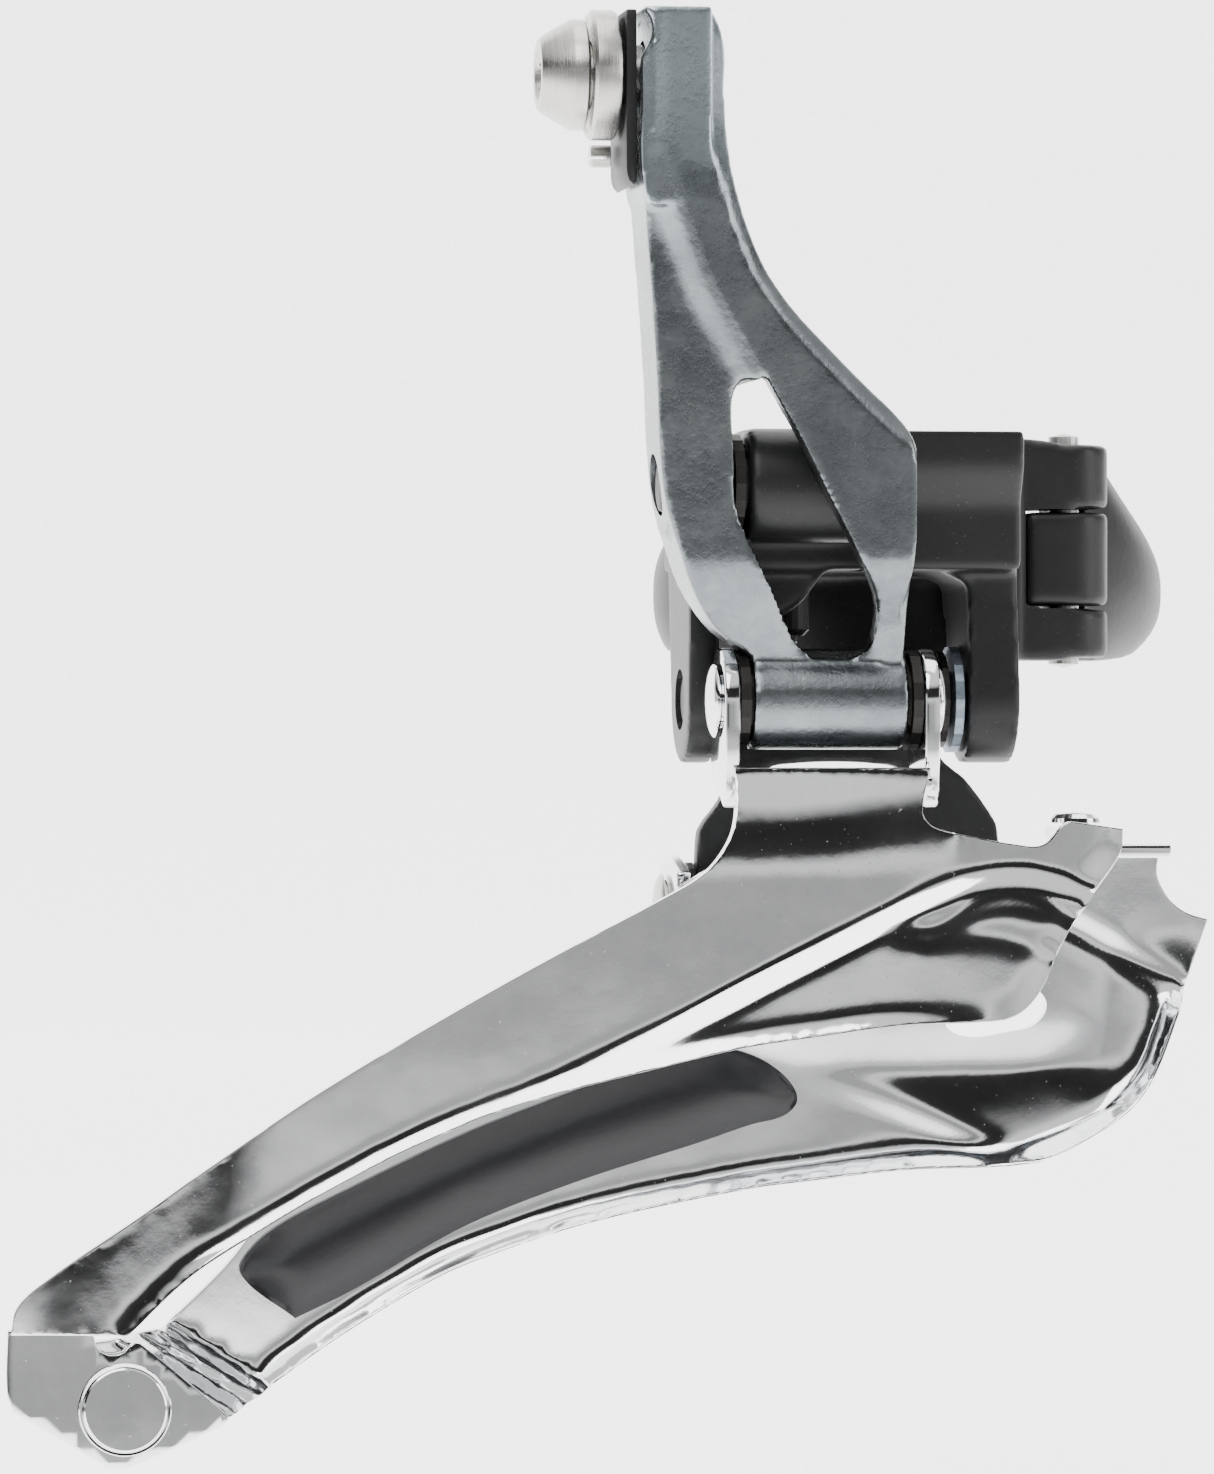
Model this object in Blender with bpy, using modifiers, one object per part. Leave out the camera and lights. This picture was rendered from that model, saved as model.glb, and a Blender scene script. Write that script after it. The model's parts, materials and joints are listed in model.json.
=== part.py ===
"""Front derailleur with a band clamp, long cable arm and two-plate cage.

Millimetres in the constants, metres in the meshes. X points forward along the
bicycle, Y inboard to the seat tube, Z up the seat tube. The origin is the
centre of the seat-tube clamp.
"""
import math

import bmesh
import bpy
from mathutils import Matrix

MM = 0.001
GAP = 0.3                     # between touching pieces

# seat-tube clamp
TUBE_R = 17.45
RING_R = 21.5
RING_TOP = 9.0
RING_LOW = 1.6                # top edge of the narrow far side
RING_BASE = -9.0
HINGE = (9.2, -21.2)          # X, Y of the vertical clamp hinge
HINGE_R = 3.0
EAR_ANGLE = 100.0             # where the clamp closes, degrees from +X
EAR_RADIUS = 27.2             # clamp bolt's distance from the tube axis
EAR_Z = -3.4

# four pivots, all along X: (Y, Z)
PIVOT_A = (-42.0, 4.5)        # arm on the base
PIVOT_B = (-31.5, -12.3)      # inner link on the base
LINK = (1.0, -16.9)           # the parallelogram's side
PIVOT_C = (PIVOT_A[0] + LINK[0], PIVOT_A[1] + LINK[1])
PIVOT_D = (PIVOT_B[0] + LINK[0], PIVOT_B[1] + LINK[1])
PIN_R = 2.2
BUSH_BORE = PIN_R + 0.25
BUSH_R = 3.05
BUSH_HOLE = BUSH_R + 0.25
BUSH_FLANGE = 0.8

# widths along X
ARM_X = (-28.1, -8.1)
BARREL_X = (-20.8, -11.4)
CAGE_BARREL_X = (-20.2, -7.9)
CAGE_EARS_X = ((-22.6, -21.4), (-6.7, -5.5))
LUGS_X = ((-24.2, -21.7), (-1.5, 2.6))
LINK_X = (-20.6, -3.6)
LOW_LINK_X = (-22.9, 1.4)
LOW_EARS_X = ((-25.2, -24.0), (2.5, 3.7))
SPRING_X = (-19.9, -12.2)     # room for the spring on the lower barrel

# arm and cage planes along Y
STRAP_Y = -49.2
LEG_Y = -46.3
OUTER_Y = -48.6
INNER_Y = -37.2
SHEET = 1.2
ANCHOR = (-43.3, 36.5)        # cable bolt's Y, Z
WASHER_X = -31.1              # its inner face

# adjusting screws stand side by side in the base
SCREW_X = -15.2
HIGH_SCREW_Y = -32.2
LOW_SCREW_Y = -26.5
SCREW_R = 1.4
SCREW_TIP = -7.3

STEPS = 18


def clear_scene():
    for obj in list(bpy.data.objects):
        bpy.data.objects.remove(obj, do_unlink=True)


def collection(name):
    group = bpy.data.collections.new(name)
    bpy.context.scene.collection.children.link(group)
    return group


clear_scene()
PARTS = collection("front_derailleur")
CUTTERS = collection("cutters")


def finish(name):
    colour, metallic, roughness = FINISHES[name]
    material = bpy.data.materials.new(name)
    material.use_nodes = True
    shader = material.node_tree.nodes["Principled BSDF"]
    shader.inputs["Base Color"].default_value = (*colour, 1.0)
    shader.inputs["Metallic"].default_value = metallic
    shader.inputs["Roughness"].default_value = roughness
    return material


FINISHES = {
    "chrome": ((0.82, 0.83, 0.85), 1.0, 0.12),
    "gunmetal": ((0.16, 0.19, 0.21), 0.9, 0.34),
    "black_paint": ((0.02, 0.02, 0.022), 0.0, 0.42),
    "bare_steel": ((0.62, 0.61, 0.59), 1.0, 0.28),
    "zinc": ((0.45, 0.5, 0.58), 1.0, 0.4),
    "resin": ((0.03, 0.03, 0.032), 0.0, 0.38),
    "bronze": ((0.5, 0.36, 0.16), 0.9, 0.4),
}
MATERIALS = {name: finish(name) for name in FINISHES}


def empty(name, x, y, z):
    axis = bpy.data.objects.new(name, None)
    axis.location = (x * MM, y * MM, z * MM)
    PARTS.objects.link(axis)
    return axis


AXES = {
    "base": None,
    "clamp_band": empty("clamp_hinge_axis", *HINGE, 0),
    "arm": empty("arm_axis", 0, *PIVOT_A),
    "inner_link": empty("inner_link_axis", 0, *PIVOT_B),
    "cage": empty("cage_axis", 0, *PIVOT_C),
}


def new_object(name, bm, group=None):
    mesh = bpy.data.meshes.new(name)
    bmesh.ops.recalc_face_normals(bm, faces=bm.faces)
    bm.to_mesh(mesh)
    bm.free()
    obj = bpy.data.objects.new(name, mesh)
    (group or CUTTERS).objects.link(obj)
    if group is None:
        obj.hide_render = True
        obj.display_type = "WIRE"
    return obj


def as_part(obj, name, material, body="base", smooth=True):
    """A shape becomes a named sub-part riding on one body's axis."""
    CUTTERS.objects.unlink(obj)
    PARTS.objects.link(obj)
    obj.name = name
    obj.data.name = name
    obj.hide_render = False
    obj.display_type = "TEXTURED"
    obj.data.materials.append(MATERIALS[material])
    if smooth:
        obj.data.shade_smooth()
        obj.data.set_sharp_from_angle(angle=math.radians(35))
    axis = AXES[body]
    if axis:
        obj.parent = axis
        obj.matrix_parent_inverse = Matrix.Translation(-axis.location)
    return obj


def boolean(obj, operation, other):
    change = obj.modifiers.new(other.name, "BOOLEAN")
    change.operation = operation
    change.object = other
    change.solver = "EXACT"
    return obj


def add(obj, *others):
    for other in others:
        boolean(obj, "UNION", other)
    return obj


def cut(obj, *others):
    for other in others:
        boolean(obj, "DIFFERENCE", other)
    return obj


def level(value):
    return value if callable(value) else lambda x, z: value


def slab(name, outline, front, back, cuts_x=(), cuts_z=(), holes=()):
    """An X-Z outline filled, bent to front(x, z) and given its back face."""
    bm = bmesh.new()
    for loop in (outline, *holes):
        verts = [bm.verts.new((x, 0, z)) for x, z in loop]
        for i, vert in enumerate(verts):
            bm.edges.new((verts[i - 1], vert))
    bmesh.ops.triangle_fill(bm, edges=bm.edges[:], use_beauty=True)
    for axis, places in ((0, cuts_x), (2, cuts_z)):
        for place in places:
            normal = [0, 0, 0]
            normal[axis] = 1
            point = [0, 0, 0]
            point[axis] = place
            geom = bm.verts[:] + bm.edges[:] + bm.faces[:]
            bmesh.ops.bisect_plane(
                bm, geom=geom, dist=0.001, plane_co=point, plane_no=normal)
    front_verts = bm.verts[:]
    made = bmesh.ops.extrude_face_region(bm, geom=bm.faces[:])["geom"]
    back_verts = [v for v in made if isinstance(v, bmesh.types.BMVert)]
    front, back = level(front), level(back)
    for verts, side in ((front_verts, front), (back_verts, back)):
        for vert in verts:
            vert.co.y = side(vert.co.x, vert.co.z)
    bmesh.ops.scale(bm, vec=(MM, MM, MM), verts=bm.verts[:])
    return new_object(name, bm)


def side_plate(name, outline, x0, x1):
    """A Y-Z outline, x0 to x1 thick."""
    bm = bmesh.new()
    verts = [bm.verts.new((x0, y, z)) for y, z in outline]
    face = bm.faces.new(verts)
    made = bmesh.ops.extrude_face_region(bm, geom=[face])["geom"]
    for vert in made:
        if isinstance(vert, bmesh.types.BMVert):
            vert.co.x = x1
    bmesh.ops.scale(bm, vec=(MM, MM, MM), verts=bm.verts[:])
    return new_object(name, bm)


def box(name, low, high):
    bm = bmesh.new()
    bmesh.ops.create_cube(bm, size=1.0)
    size = [b - a for a, b in zip(low, high)]
    middle = [(a + b) / 2 for a, b in zip(low, high)]
    bmesh.ops.scale(bm, vec=size, verts=bm.verts[:])
    bmesh.ops.translate(bm, vec=middle, verts=bm.verts[:])
    bmesh.ops.scale(bm, vec=(MM, MM, MM), verts=bm.verts[:])
    return new_object(name, bm)


def rod(name, start, end, radius, steps=STEPS):
    """A plain cylinder between two points."""
    bm = bmesh.new()
    along = [b - a for a, b in zip(start, end)]
    length = math.sqrt(sum(d * d for d in along))
    bmesh.ops.create_cone(
        bm, cap_ends=True, segments=steps, radius1=radius, radius2=radius,
        depth=length)
    bmesh.ops.transform(bm, matrix=facing(along), verts=bm.verts[:])
    middle = [(a + b) / 2 for a, b in zip(start, end)]
    bmesh.ops.translate(bm, vec=middle, verts=bm.verts[:])
    bmesh.ops.scale(bm, vec=(MM, MM, MM), verts=bm.verts[:])
    return new_object(name, bm)


def facing(direction):
    """Turns +Z to a direction."""
    from mathutils import Vector
    return Vector(direction).to_track_quat("Z", "Y").to_matrix().to_4x4()


def rod_x(name, pivot, x0, x1, radius, steps=STEPS):
    return rod(name, (x0, *pivot), (x1, *pivot), radius, steps)


def turned(name, profile, place, direction, steps=STEPS, ring=False):
    """(radius, height) points down the outer side, turned about an axis."""
    bm = bmesh.new()
    verts = [bm.verts.new((r * MM, 0, h * MM)) for r, h in profile]
    pairs = list(zip(verts, verts[1:]))
    if ring:
        pairs.append((verts[-1], verts[0]))
    for pair in pairs:
        bm.edges.new(pair)
    mesh = bpy.data.meshes.new(name)
    bm.to_mesh(mesh)
    bm.free()
    obj = bpy.data.objects.new(name, mesh)
    CUTTERS.objects.link(obj)
    obj.hide_render = True
    obj.display_type = "WIRE"
    screw = obj.modifiers.new("turn", "SCREW")
    screw.steps = steps
    screw.render_steps = steps
    screw.use_merge_vertices = True
    screw.merge_threshold = 0.00001
    screw.use_normal_calculate = False
    turn = facing(direction)
    obj.matrix_world = Matrix.Translation([c * MM for c in place]) @ turn
    return obj


def rivet(name, pivot, x0, x1, shank, head, thick):
    """A pin along X, headed at both ends outside x0 and x1."""
    profile = [
        (0, x1 + thick), (head * 0.7, x1 + thick), (head, x1 + thick * 0.4),
        (head, x1), (shank, x1), (shank, x0), (head, x0),
        (head, x0 - thick * 0.4), (head * 0.7, x0 - thick), (0, x0 - thick)]
    return turned(name, profile, (0, *pivot), (1, 0, 0))


def arc(cx, cz, radius, start, end, count):
    step = math.radians(end - start) / count
    first = math.radians(start)
    return [
        (cx + radius * math.cos(first + step * i),
         cz + radius * math.sin(first + step * i))
        for i in range(count + 1)]


def smooth(value, low, high):
    t = min(1.0, max(0.0, (value - low) / (high - low)))
    return t * t * (3 - 2 * t)


def steps_between(low, high, step):
    count = int((high - low) / step)
    return [low + step * i for i in range(1, count + 1)]


# ---- seat-tube clamp ----

def ring_top(angle):
    """Tall on the outboard side, low on the far side."""
    away = abs((angle + 90 + 180) % 360 - 180)
    drop = smooth(away, 24, 88)
    return RING_TOP + (RING_LOW - RING_TOP) * drop


def ring_base(angle):
    away = abs((angle + 90 + 180) % 360 - 180)
    return RING_BASE + 0.9 * smooth(away, 40, 100)


def ring_part(name, start, end, count):
    """A stretch of the clamp ring, from start round to end in degrees."""
    bm = bmesh.new()
    bmesh.ops.create_grid(bm, x_segments=count, y_segments=3, size=1.0)
    for vert in bm.verts:
        along = (vert.co.x + 1) / 2
        up = (vert.co.y + 1) / 2
        angle = start + (end - start) * along
        low, top = ring_base(angle), ring_top(angle)
        vert.co = (
            RING_R * math.cos(math.radians(angle)),
            RING_R * math.sin(math.radians(angle)),
            low + (top - low) * up)
    made = bmesh.ops.extrude_face_region(bm, geom=bm.faces[:])["geom"]
    for vert in made:
        if isinstance(vert, bmesh.types.BMVert):
            vert.co.x *= TUBE_R / RING_R
            vert.co.y *= TUBE_R / RING_R
    bmesh.ops.scale(bm, vec=(MM, MM, MM), verts=bm.verts[:])
    return new_object(name, bm)


def polar(radius, angle):
    turn = math.radians(angle)
    return radius * math.cos(turn), radius * math.sin(turn)


def clamp_ear(name, offset, thick):
    """A rounded ear across the clamp bolt, offset along the bolt."""
    turn = math.radians(EAR_ANGLE)
    along = (-math.sin(turn), math.cos(turn))
    x, y = polar(EAR_RADIUS, EAR_ANGLE)
    ends = []
    for shift in (offset, offset + thick):
        ends.append((x + along[0] * shift, y + along[1] * shift, EAR_Z))
    ear = rod(name, *ends, 4.9)
    root = box(name + "_root", (RING_R - 3.2, offset, EAR_Z - 4.4),
               (EAR_RADIUS, offset + thick, EAR_Z + 4.4))
    root.rotation_euler = (0, 0, turn)
    return add(ear, root)


def bolt_line(start, end, radius, name):
    turn = math.radians(EAR_ANGLE)
    along = (-math.sin(turn), math.cos(turn))
    x, y = polar(EAR_RADIUS, EAR_ANGLE)
    ends = [(x + along[0] * s, y + along[1] * s, EAR_Z) for s in (start, end)]
    return rod(name, *ends, radius)


def knuckle(name, low, high):
    return rod(name, (*HINGE, low), (*HINGE, high), HINGE_R)


def knuckle_root(name, low, high, side):
    """Joins a knuckle to the ring on its own side of the hinge."""
    angle = math.degrees(math.atan2(HINGE[1], HINGE[0]))
    root = box(name, (RING_R - 3.5, min(0, side), low),
               (math.hypot(*HINGE) + 0.4, max(0, side), high))
    root.rotation_euler = (0, 0, math.radians(angle))
    return root


def make_clamp_body():
    body = ring_part("ring_body", -71, EAR_ANGLE + 4.0 - 360, 33)
    plan = box("shelf", (-20.4, -38.0, -2.0), (2.4, -17.0, RING_TOP))
    nose = slab(
        "shelf_side", [(2.0, -2.4), (2.4, -9.0), (8.6, -9.0), (9.6, -8.0),
                       (9.6, 7.8), (8.8, RING_TOP), (2.0, RING_TOP)],
        lambda x, z: -34.5 + max(0, x - 2.4) * 1.75,
        lambda x, z: -17.0 - max(0, x - 4.0) * 0.8)
    wedge = slab(
        "arch_side", [(-20.4, -1.0), (-20.4, -7.6), (-17.2, -6.0),
                      (-13.2, -1.9)], -37.4, -17.6)
    barrel = rod_x("base_barrel", PIVOT_A, *BARREL_X, 4.5)
    bridge = box("barrel_root", (BARREL_X[0], PIVOT_A[0], 0.2),
                 (BARREL_X[1], -36.0, RING_TOP))
    add(body, plan, nose, wedge, barrel, bridge)
    for index, (x0, x1) in enumerate(LUGS_X):
        y, z = PIVOT_B
        low = arc(y, z, 5.1, 180, 360, 10)
        outline = [(-37.0 + index * 2.4, 3.0)] + low + [(-24.0, 3.0)]
        add(body, side_plate(f"lug_{index}", outline, x0, x1))
    back = box("left_lug_root", (LUGS_X[0][0], -36.0, -2.0),
               (-19.8, -22.5, 7.6))
    add(body, back)
    upper = knuckle("knuckle_up", 3.4, 8.6)
    lower = knuckle("knuckle_low", -8.8, -4.9)
    add(body, upper, lower,
        knuckle_root("root_up", 3.4, 8.6, -4.0),
        knuckle_root("root_low", -8.8, -4.9, -4.0))
    add(body, clamp_ear("body_ear", 1.6, 3.2))
    cut(body, rod("tube_space", (0, 0, -20), (0, 0, 20), TUBE_R, 64))
    cut(body, rod("hinge_hole", (*HINGE, -15), (*HINGE, 15), 1.55))
    cut(body, rod("band_knuckle_space", (*HINGE, -4.9), (*HINGE, 3.4),
                  HINGE_R + 0.7))
    cut(body, bolt_line(-2, 9, 3.7, "bolt_space"))
    cut(body, rod_x("arm_pin_hole", PIVOT_A, -40, 10, PIN_R + 0.25))
    for side, x in enumerate(BARREL_X):
        cut(body, rod_x(f"bush_seat_{side}", PIVOT_A, x - 3.2, x + 3.2,
                        BUSH_HOLE))
    cut(body, rod_x("link_pin_hole", PIVOT_B, -40, 10, PIN_R + 0.25))
    cut(body, box("arm_slot", (-10.6, -55, -15), (-7.2, -31.5, 15)))
    for name, y in (("high", HIGH_SCREW_Y), ("low", LOW_SCREW_Y)):
        cut(body, rod(name + "_screw_hole", (SCREW_X, y, -15),
                      (SCREW_X, y, 15), SCREW_R + 0.25))
    return as_part(body, "clamp_body", "black_paint")


def make_clamp_band():
    band = ring_part("ring_band", -61.5, EAR_ANGLE - 4.0, 30)
    add(band, knuckle("knuckle_mid", -4.5, 3.0),
        knuckle_root("root_mid", -4.5, 3.0, 3.4),
        clamp_ear("band_ear", -4.8, 3.2))
    cut(band, rod("band_tube_space", (0, 0, -20), (0, 0, 20), TUBE_R, 64),
        rod("band_hinge_hole", (*HINGE, -15), (*HINGE, 15), 1.55),
        bolt_line(-12, 4, 2.75, "band_bolt_hole"))
    spaces = [
        rod(f"body_knuckle_space_{i}", (*HINGE, a), (*HINGE, b),
            HINGE_R + 0.7)
        for i, (a, b) in enumerate(((3.0, 12), (-12, -4.5)))]
    cut(band, *spaces)
    return as_part(band, "clamp_band", "black_paint", "clamp_band")


def bolt_profile(shank, length, head, thick, socket, depth):
    """Head up at +, its socket, and a shank down to -length."""
    return [
        (0, thick - depth), (socket, thick - depth), (socket, thick),
        (head - 0.5, thick), (head, thick - 0.5), (head, 0), (shank, 0),
        (shank, -length + 0.4), (shank - 0.4, -length), (0, -length)]


def make_clamp_hardware():
    pin = turned("hinge_pin", [(0, 9.6), (1.25, 9.3), (1.25, -9.3), (0, -9.6)],
                 (*HINGE, 0), (0, 0, 1), 20)
    as_part(pin, "hinge_pin", "bare_steel")
    turn = math.radians(EAR_ANGLE)
    along = (math.sin(turn), -math.cos(turn), 0)
    x, y = polar(EAR_RADIUS, EAR_ANGLE)
    seat = 4.8 + GAP
    place = (x + along[0] * seat, y + along[1] * seat, EAR_Z)
    washer = turned(
        "clamp_washer", [(4.6, 1.0), (4.6, 0), (2.8, 0), (2.8, 1.0)],
        place, along, ring=True)
    as_part(washer, "clamp_washer", "bare_steel", "clamp_band")
    seat += 1.0 + GAP
    place = (x + along[0] * seat, y + along[1] * seat, EAR_Z)
    bolt = turned(
        "clamp_bolt", bolt_profile(2.45, 15.0, 4.2, 4.2, 2.3, 2.6),
        place, along)
    axis = empty("clamp_bolt_axis", *place)
    AXES["clamp_bolt"] = axis
    as_part(bolt, "clamp_bolt", "bare_steel", "clamp_bolt")


# ---- cable arm ----

def arm_bend(front):
    """The arm's lower end comes back to the cage pivot."""
    return lambda x, z: front + (-44.6 - front) * smooth(-z, 1.0, 11.5)


LEFT_EDGE = [
    (-28.8, 41.5), (-28.9, 30.2), (-29.2, 26.9), (-28.6, 18.6),
    (-28.2, 12.4), (-28.0, 7.7), (-27.5, 3.1), (-26.4, -0.8), (-25.2, -4.0),
    (-23.2, -7.0), (-21.6, -8.1), (-20.2, -8.6), (-20.2, -12.4)]
RIGHT_EDGE = [
    (-8.5, -12.4), (-8.9, -7.6), (-8.7, -4.6), (-8.2, -1.5), (-8.1, 1.6),
    (-8.15, 6.3), (-8.4, 8.2), (-9.6, 9.9), (-11.9, 12.1), (-15.0, 15.2),
    (-18.2, 18.3), (-20.2, 21.4), (-21.7, 25.3), (-22.7, 29.1),
    (-23.1, 34.2), (-23.4, 40.2), (-24.3, 41.5)]
WINDOW_LEFT = [
    (-16.4, -8.6), (-17.6, -6.6), (-19.6, -3.1), (-21.2, 0.0), (-22.2, 3.1),
    (-22.4, 7.8), (-22.4, 11.4)]
WINDOW_RIGHT = [
    (-20.9, 12.5), (-19.2, 11.3), (-17.2, 7.8), (-14.9, 3.2), (-12.5, -1.5),
    (-10.9, -4.6), (-10.75, -7.6), (-11.8, -8.9)]
RIDGE = [(-28.9, 27.1), (-26.9, 21.7), (-25.2, 17.8), (-23.6, 14.6)]


def make_arm():
    rows = steps_between(-12.4, 41.5, 3.6)
    arm = slab(
        "arm_leg", LEFT_EDGE + [(-19.6, -12.4)] + WINDOW_LEFT
        + RIDGE[::-1] + [(-27.6, 41.5)],
        arm_bend(LEG_Y), arm_bend(-38.4), cuts_z=rows)
    strap = slab(
        "arm_strap", RIDGE + WINDOW_RIGHT + [(-16.0, -9.0), (-18.6, -12.4)]
        + RIGHT_EDGE + [(-28.8, 41.5)],
        arm_bend(STRAP_Y), arm_bend(STRAP_Y + 2.3), cuts_z=rows)
    rail = slab(
        "arm_rail", RIGHT_EDGE[5:-1] + [(-25.4, 40.6), (-25.4, 34.0),
                                        (-24.9, 28.4), (-23.6, 24.2),
                                        (-21.7, 20.0), (-19.4, 16.8),
                                        (-16.2, 13.8), (-13.0, 10.8),
                                        (-9.9, 7.6)],
        STRAP_Y + 1.0, -43.6, cuts_z=rows)
    flange = side_plate(
        "arm_flange",
        [(-48.4, 7.6), (-47.9, -2.0), (-44.6, -10.6), (-41.0, -9.2)]
        + arc(PIVOT_A[0], PIVOT_A[1], 4.9, -70, 80, 9),
        -9.9, -8.2)
    head = slab(
        "arm_head", [(-29.7, 41.5), (-29.7, 28.6), (-28.6, 26.0),
                     (-24.2, 28.0), (-24.2, 41.5)],
        STRAP_Y + 1.0, -38.2)
    leg_lug = side_plate(
        "arm_leg_lug", arc(PIVOT_A[0], PIVOT_A[1], 4.9, 0, 360, 20)[:-1],
        -27.6, -22.2)
    barrel = rod_x("arm_barrel", PIVOT_C, *CAGE_BARREL_X, 3.9)
    foot = slab(
        "arm_foot", [(-20.2, -13.4), (-20.2, -9.0), (-8.6, -9.0),
                     (-8.6, -13.4)], -44.7, -40.0)
    add(arm, strap, rail, flange, head, leg_lug, barrel, foot)
    cut(arm, rod_x("a_hole", PIVOT_A, -40, 5, PIN_R + 0.25),
        rod_x("c_hole", PIVOT_C, -40, 5, PIN_R + 0.25),
        rod_x("anchor_hole", ANCHOR, -40, -25.5, 2.75),
        rod_x("barrel_space", PIVOT_A, -22.1, -10.0, 5.0, 32))
    for side, x in enumerate(CAGE_BARREL_X):
        cut(arm, rod_x(f"cage_bush_seat_{side}", PIVOT_C, x - 2.9, x + 2.9,
                       BUSH_HOLE))
    return as_part(arm, "cable_arm", "gunmetal", "arm")


def bush(name, pivot, face, inward, sleeve, material, body):
    """A flanged bush: flange outside `face`, sleeve going inward (+1/-1)."""
    profile = [
        (4.0, BUSH_FLANGE), (4.0, 0), (BUSH_R, 0), (BUSH_R, -sleeve),
        (BUSH_BORE, -sleeve), (BUSH_BORE, BUSH_FLANGE)]
    place = (face - inward * GAP, *pivot)
    obj = turned(name, profile, place, (-inward, 0, 0), ring=True)
    return as_part(obj, name, material, body)


def make_arm_hardware():
    y, z = ANCHOR
    washer = turned(
        "cable_washer",
        [(5.1, 2.2), (5.1, 0.4), (4.7, 0), (2.75, 0), (2.75, 2.2)],
        (WASHER_X, y, z), (-1, 0, 0), 32, ring=True)
    as_part(washer, "cable_washer", "bare_steel", "arm")
    bolt = turned(
        "cable_fixing_bolt",
        [(0, 1.3), (1.7, 1.5), (1.7, 3.6), (2.7, 3.6), (3.0, 3.4),
         (4.3, 1.2), (4.35, 0), (2.45, 0), (2.45, -7.2), (2.0, -7.6),
         (0, -7.6)],
        (WASHER_X - 2.2 - GAP, y, z), (-1, 0, 0), 32)
    AXES["cable_bolt"] = empty("cable_bolt_axis", WASHER_X, y, z)
    as_part(bolt, "cable_fixing_bolt", "bare_steel", "cable_bolt")
    plate = slab(
        "converter", [(-30.8, 41.4), (-30.8, 29.2), (-30.3, 27.6),
                      (-30.0, 27.6), (-30.0, 41.4)],
        -47.6, -38.6)
    cut(plate, rod_x("converter_hole", ANCHOR, -40, -20, 2.75))
    as_part(plate, "converter_plate", "bare_steel", "arm")
    pin = turned("converter_pin", [(0, 1.6), (0.9, 1.4), (0.9, 0), (0, 0)],
                 (WASHER_X, y + 3.0, 30.4), (-1, 0, 0), 16)
    as_part(pin, "converter_pin", "bare_steel", "arm")
    for side, x, inward in (("left", BARREL_X[0], 1),
                            ("right", BARREL_X[1], -1)):
        bush("arm_bush_" + side, PIVOT_A, x, inward, 2.7, "bronze", "base")
    for side, x, inward in (("left", CAGE_BARREL_X[0], 1),
                            ("right", CAGE_BARREL_X[1], -1)):
        bush("cage_bush_" + side, PIVOT_C, x, inward, 2.4, "bronze", "arm")


# ---- inner link ----

def make_link():
    y, z = PIVOT_B
    dz = PIVOT_D[1]
    link = rod_x("link_top", PIVOT_B, *LINK_X, 4.1)
    low = rod_x("link_low", PIVOT_D, *LOW_LINK_X, 3.9)
    web = slab(
        "link_web",
        [(-20.6, z), (-20.6, -19.0), (-22.9, -22.6), (-22.9, dz),
         (1.4, dz), (1.4, -22.6), (-1.4, -18.6), (-3.6, -16.8), (-3.6, z)],
        lambda x, h: -34.0 + (h - z) / LINK[1] * LINK[0],
        lambda x, h: -31.6 + (h - z) / LINK[1] * LINK[0],
        holes=[[(-17.0, -17.6), (-7.0, -17.6), (-6.0, -19.0),
                (-6.0, -23.2), (-7.0, -24.4), (-17.0, -24.4),
                (-18.0, -23.2), (-18.0, -19.0)]])
    cut(web, rod_x("spring_space", PIVOT_D, *SPRING_X, 5.7))
    wing = slab(
        "low_stop", [(-17.4, z), (-17.4, z + 3.7), (-13.0, z + 3.7),
                     (-13.0, z)], y + 1.0, y + 7.4)
    boss = side_plate(
        "high_stop", [(y - 4.3, z + 1.2), (y - 3.9, z + 3.6),
                      (y - 2.4, z + 3.6), (y - 1.4, z + 2.0)], -17.4, -13.0)
    add(link, low, web, wing, boss)
    for name, pivot, span in (("b", PIVOT_B, LINK_X),
                              ("d", PIVOT_D, LOW_LINK_X)):
        cut(link, rod_x(name + "_hole", pivot, -40, 20, PIN_R + 0.25))
        for side, x in enumerate(span):
            cut(link, rod_x(f"{name}_seat_{side}", pivot, x - 2.9, x + 2.9,
                            BUSH_HOLE))
    as_part(link, "inner_link", "black_paint", "inner_link")
    names = (("link_bush", PIVOT_B, LINK_X, 0.6),
             ("lower_bush", PIVOT_D, LOW_LINK_X, 0.6))
    for name, pivot, span, _ in names:
        for side, x, inward in (("left", span[0], 1),
                                ("right", span[1], -1)):
            thin_bush(f"{name}_{side}", pivot, x, inward)
    washer = turned(
        "link_washer", [(4.3, 0.7), (4.3, 0), (2.5, 0), (2.5, 0.7)],
        (-2.5, *PIVOT_B), (1, 0, 0), ring=True)
    as_part(washer, "link_washer", "zinc")


def thin_bush(name, pivot, face, inward):
    profile = [
        (3.9, 0.5), (3.9, 0), (BUSH_R, 0), (BUSH_R, -2.4),
        (BUSH_BORE, -2.4), (BUSH_BORE, 0.5)]
    place = (face - inward * 0.2, *pivot)
    obj = turned(name, profile, place, (-inward, 0, 0), ring=True)
    return as_part(obj, name, "bronze", "inner_link")


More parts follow.
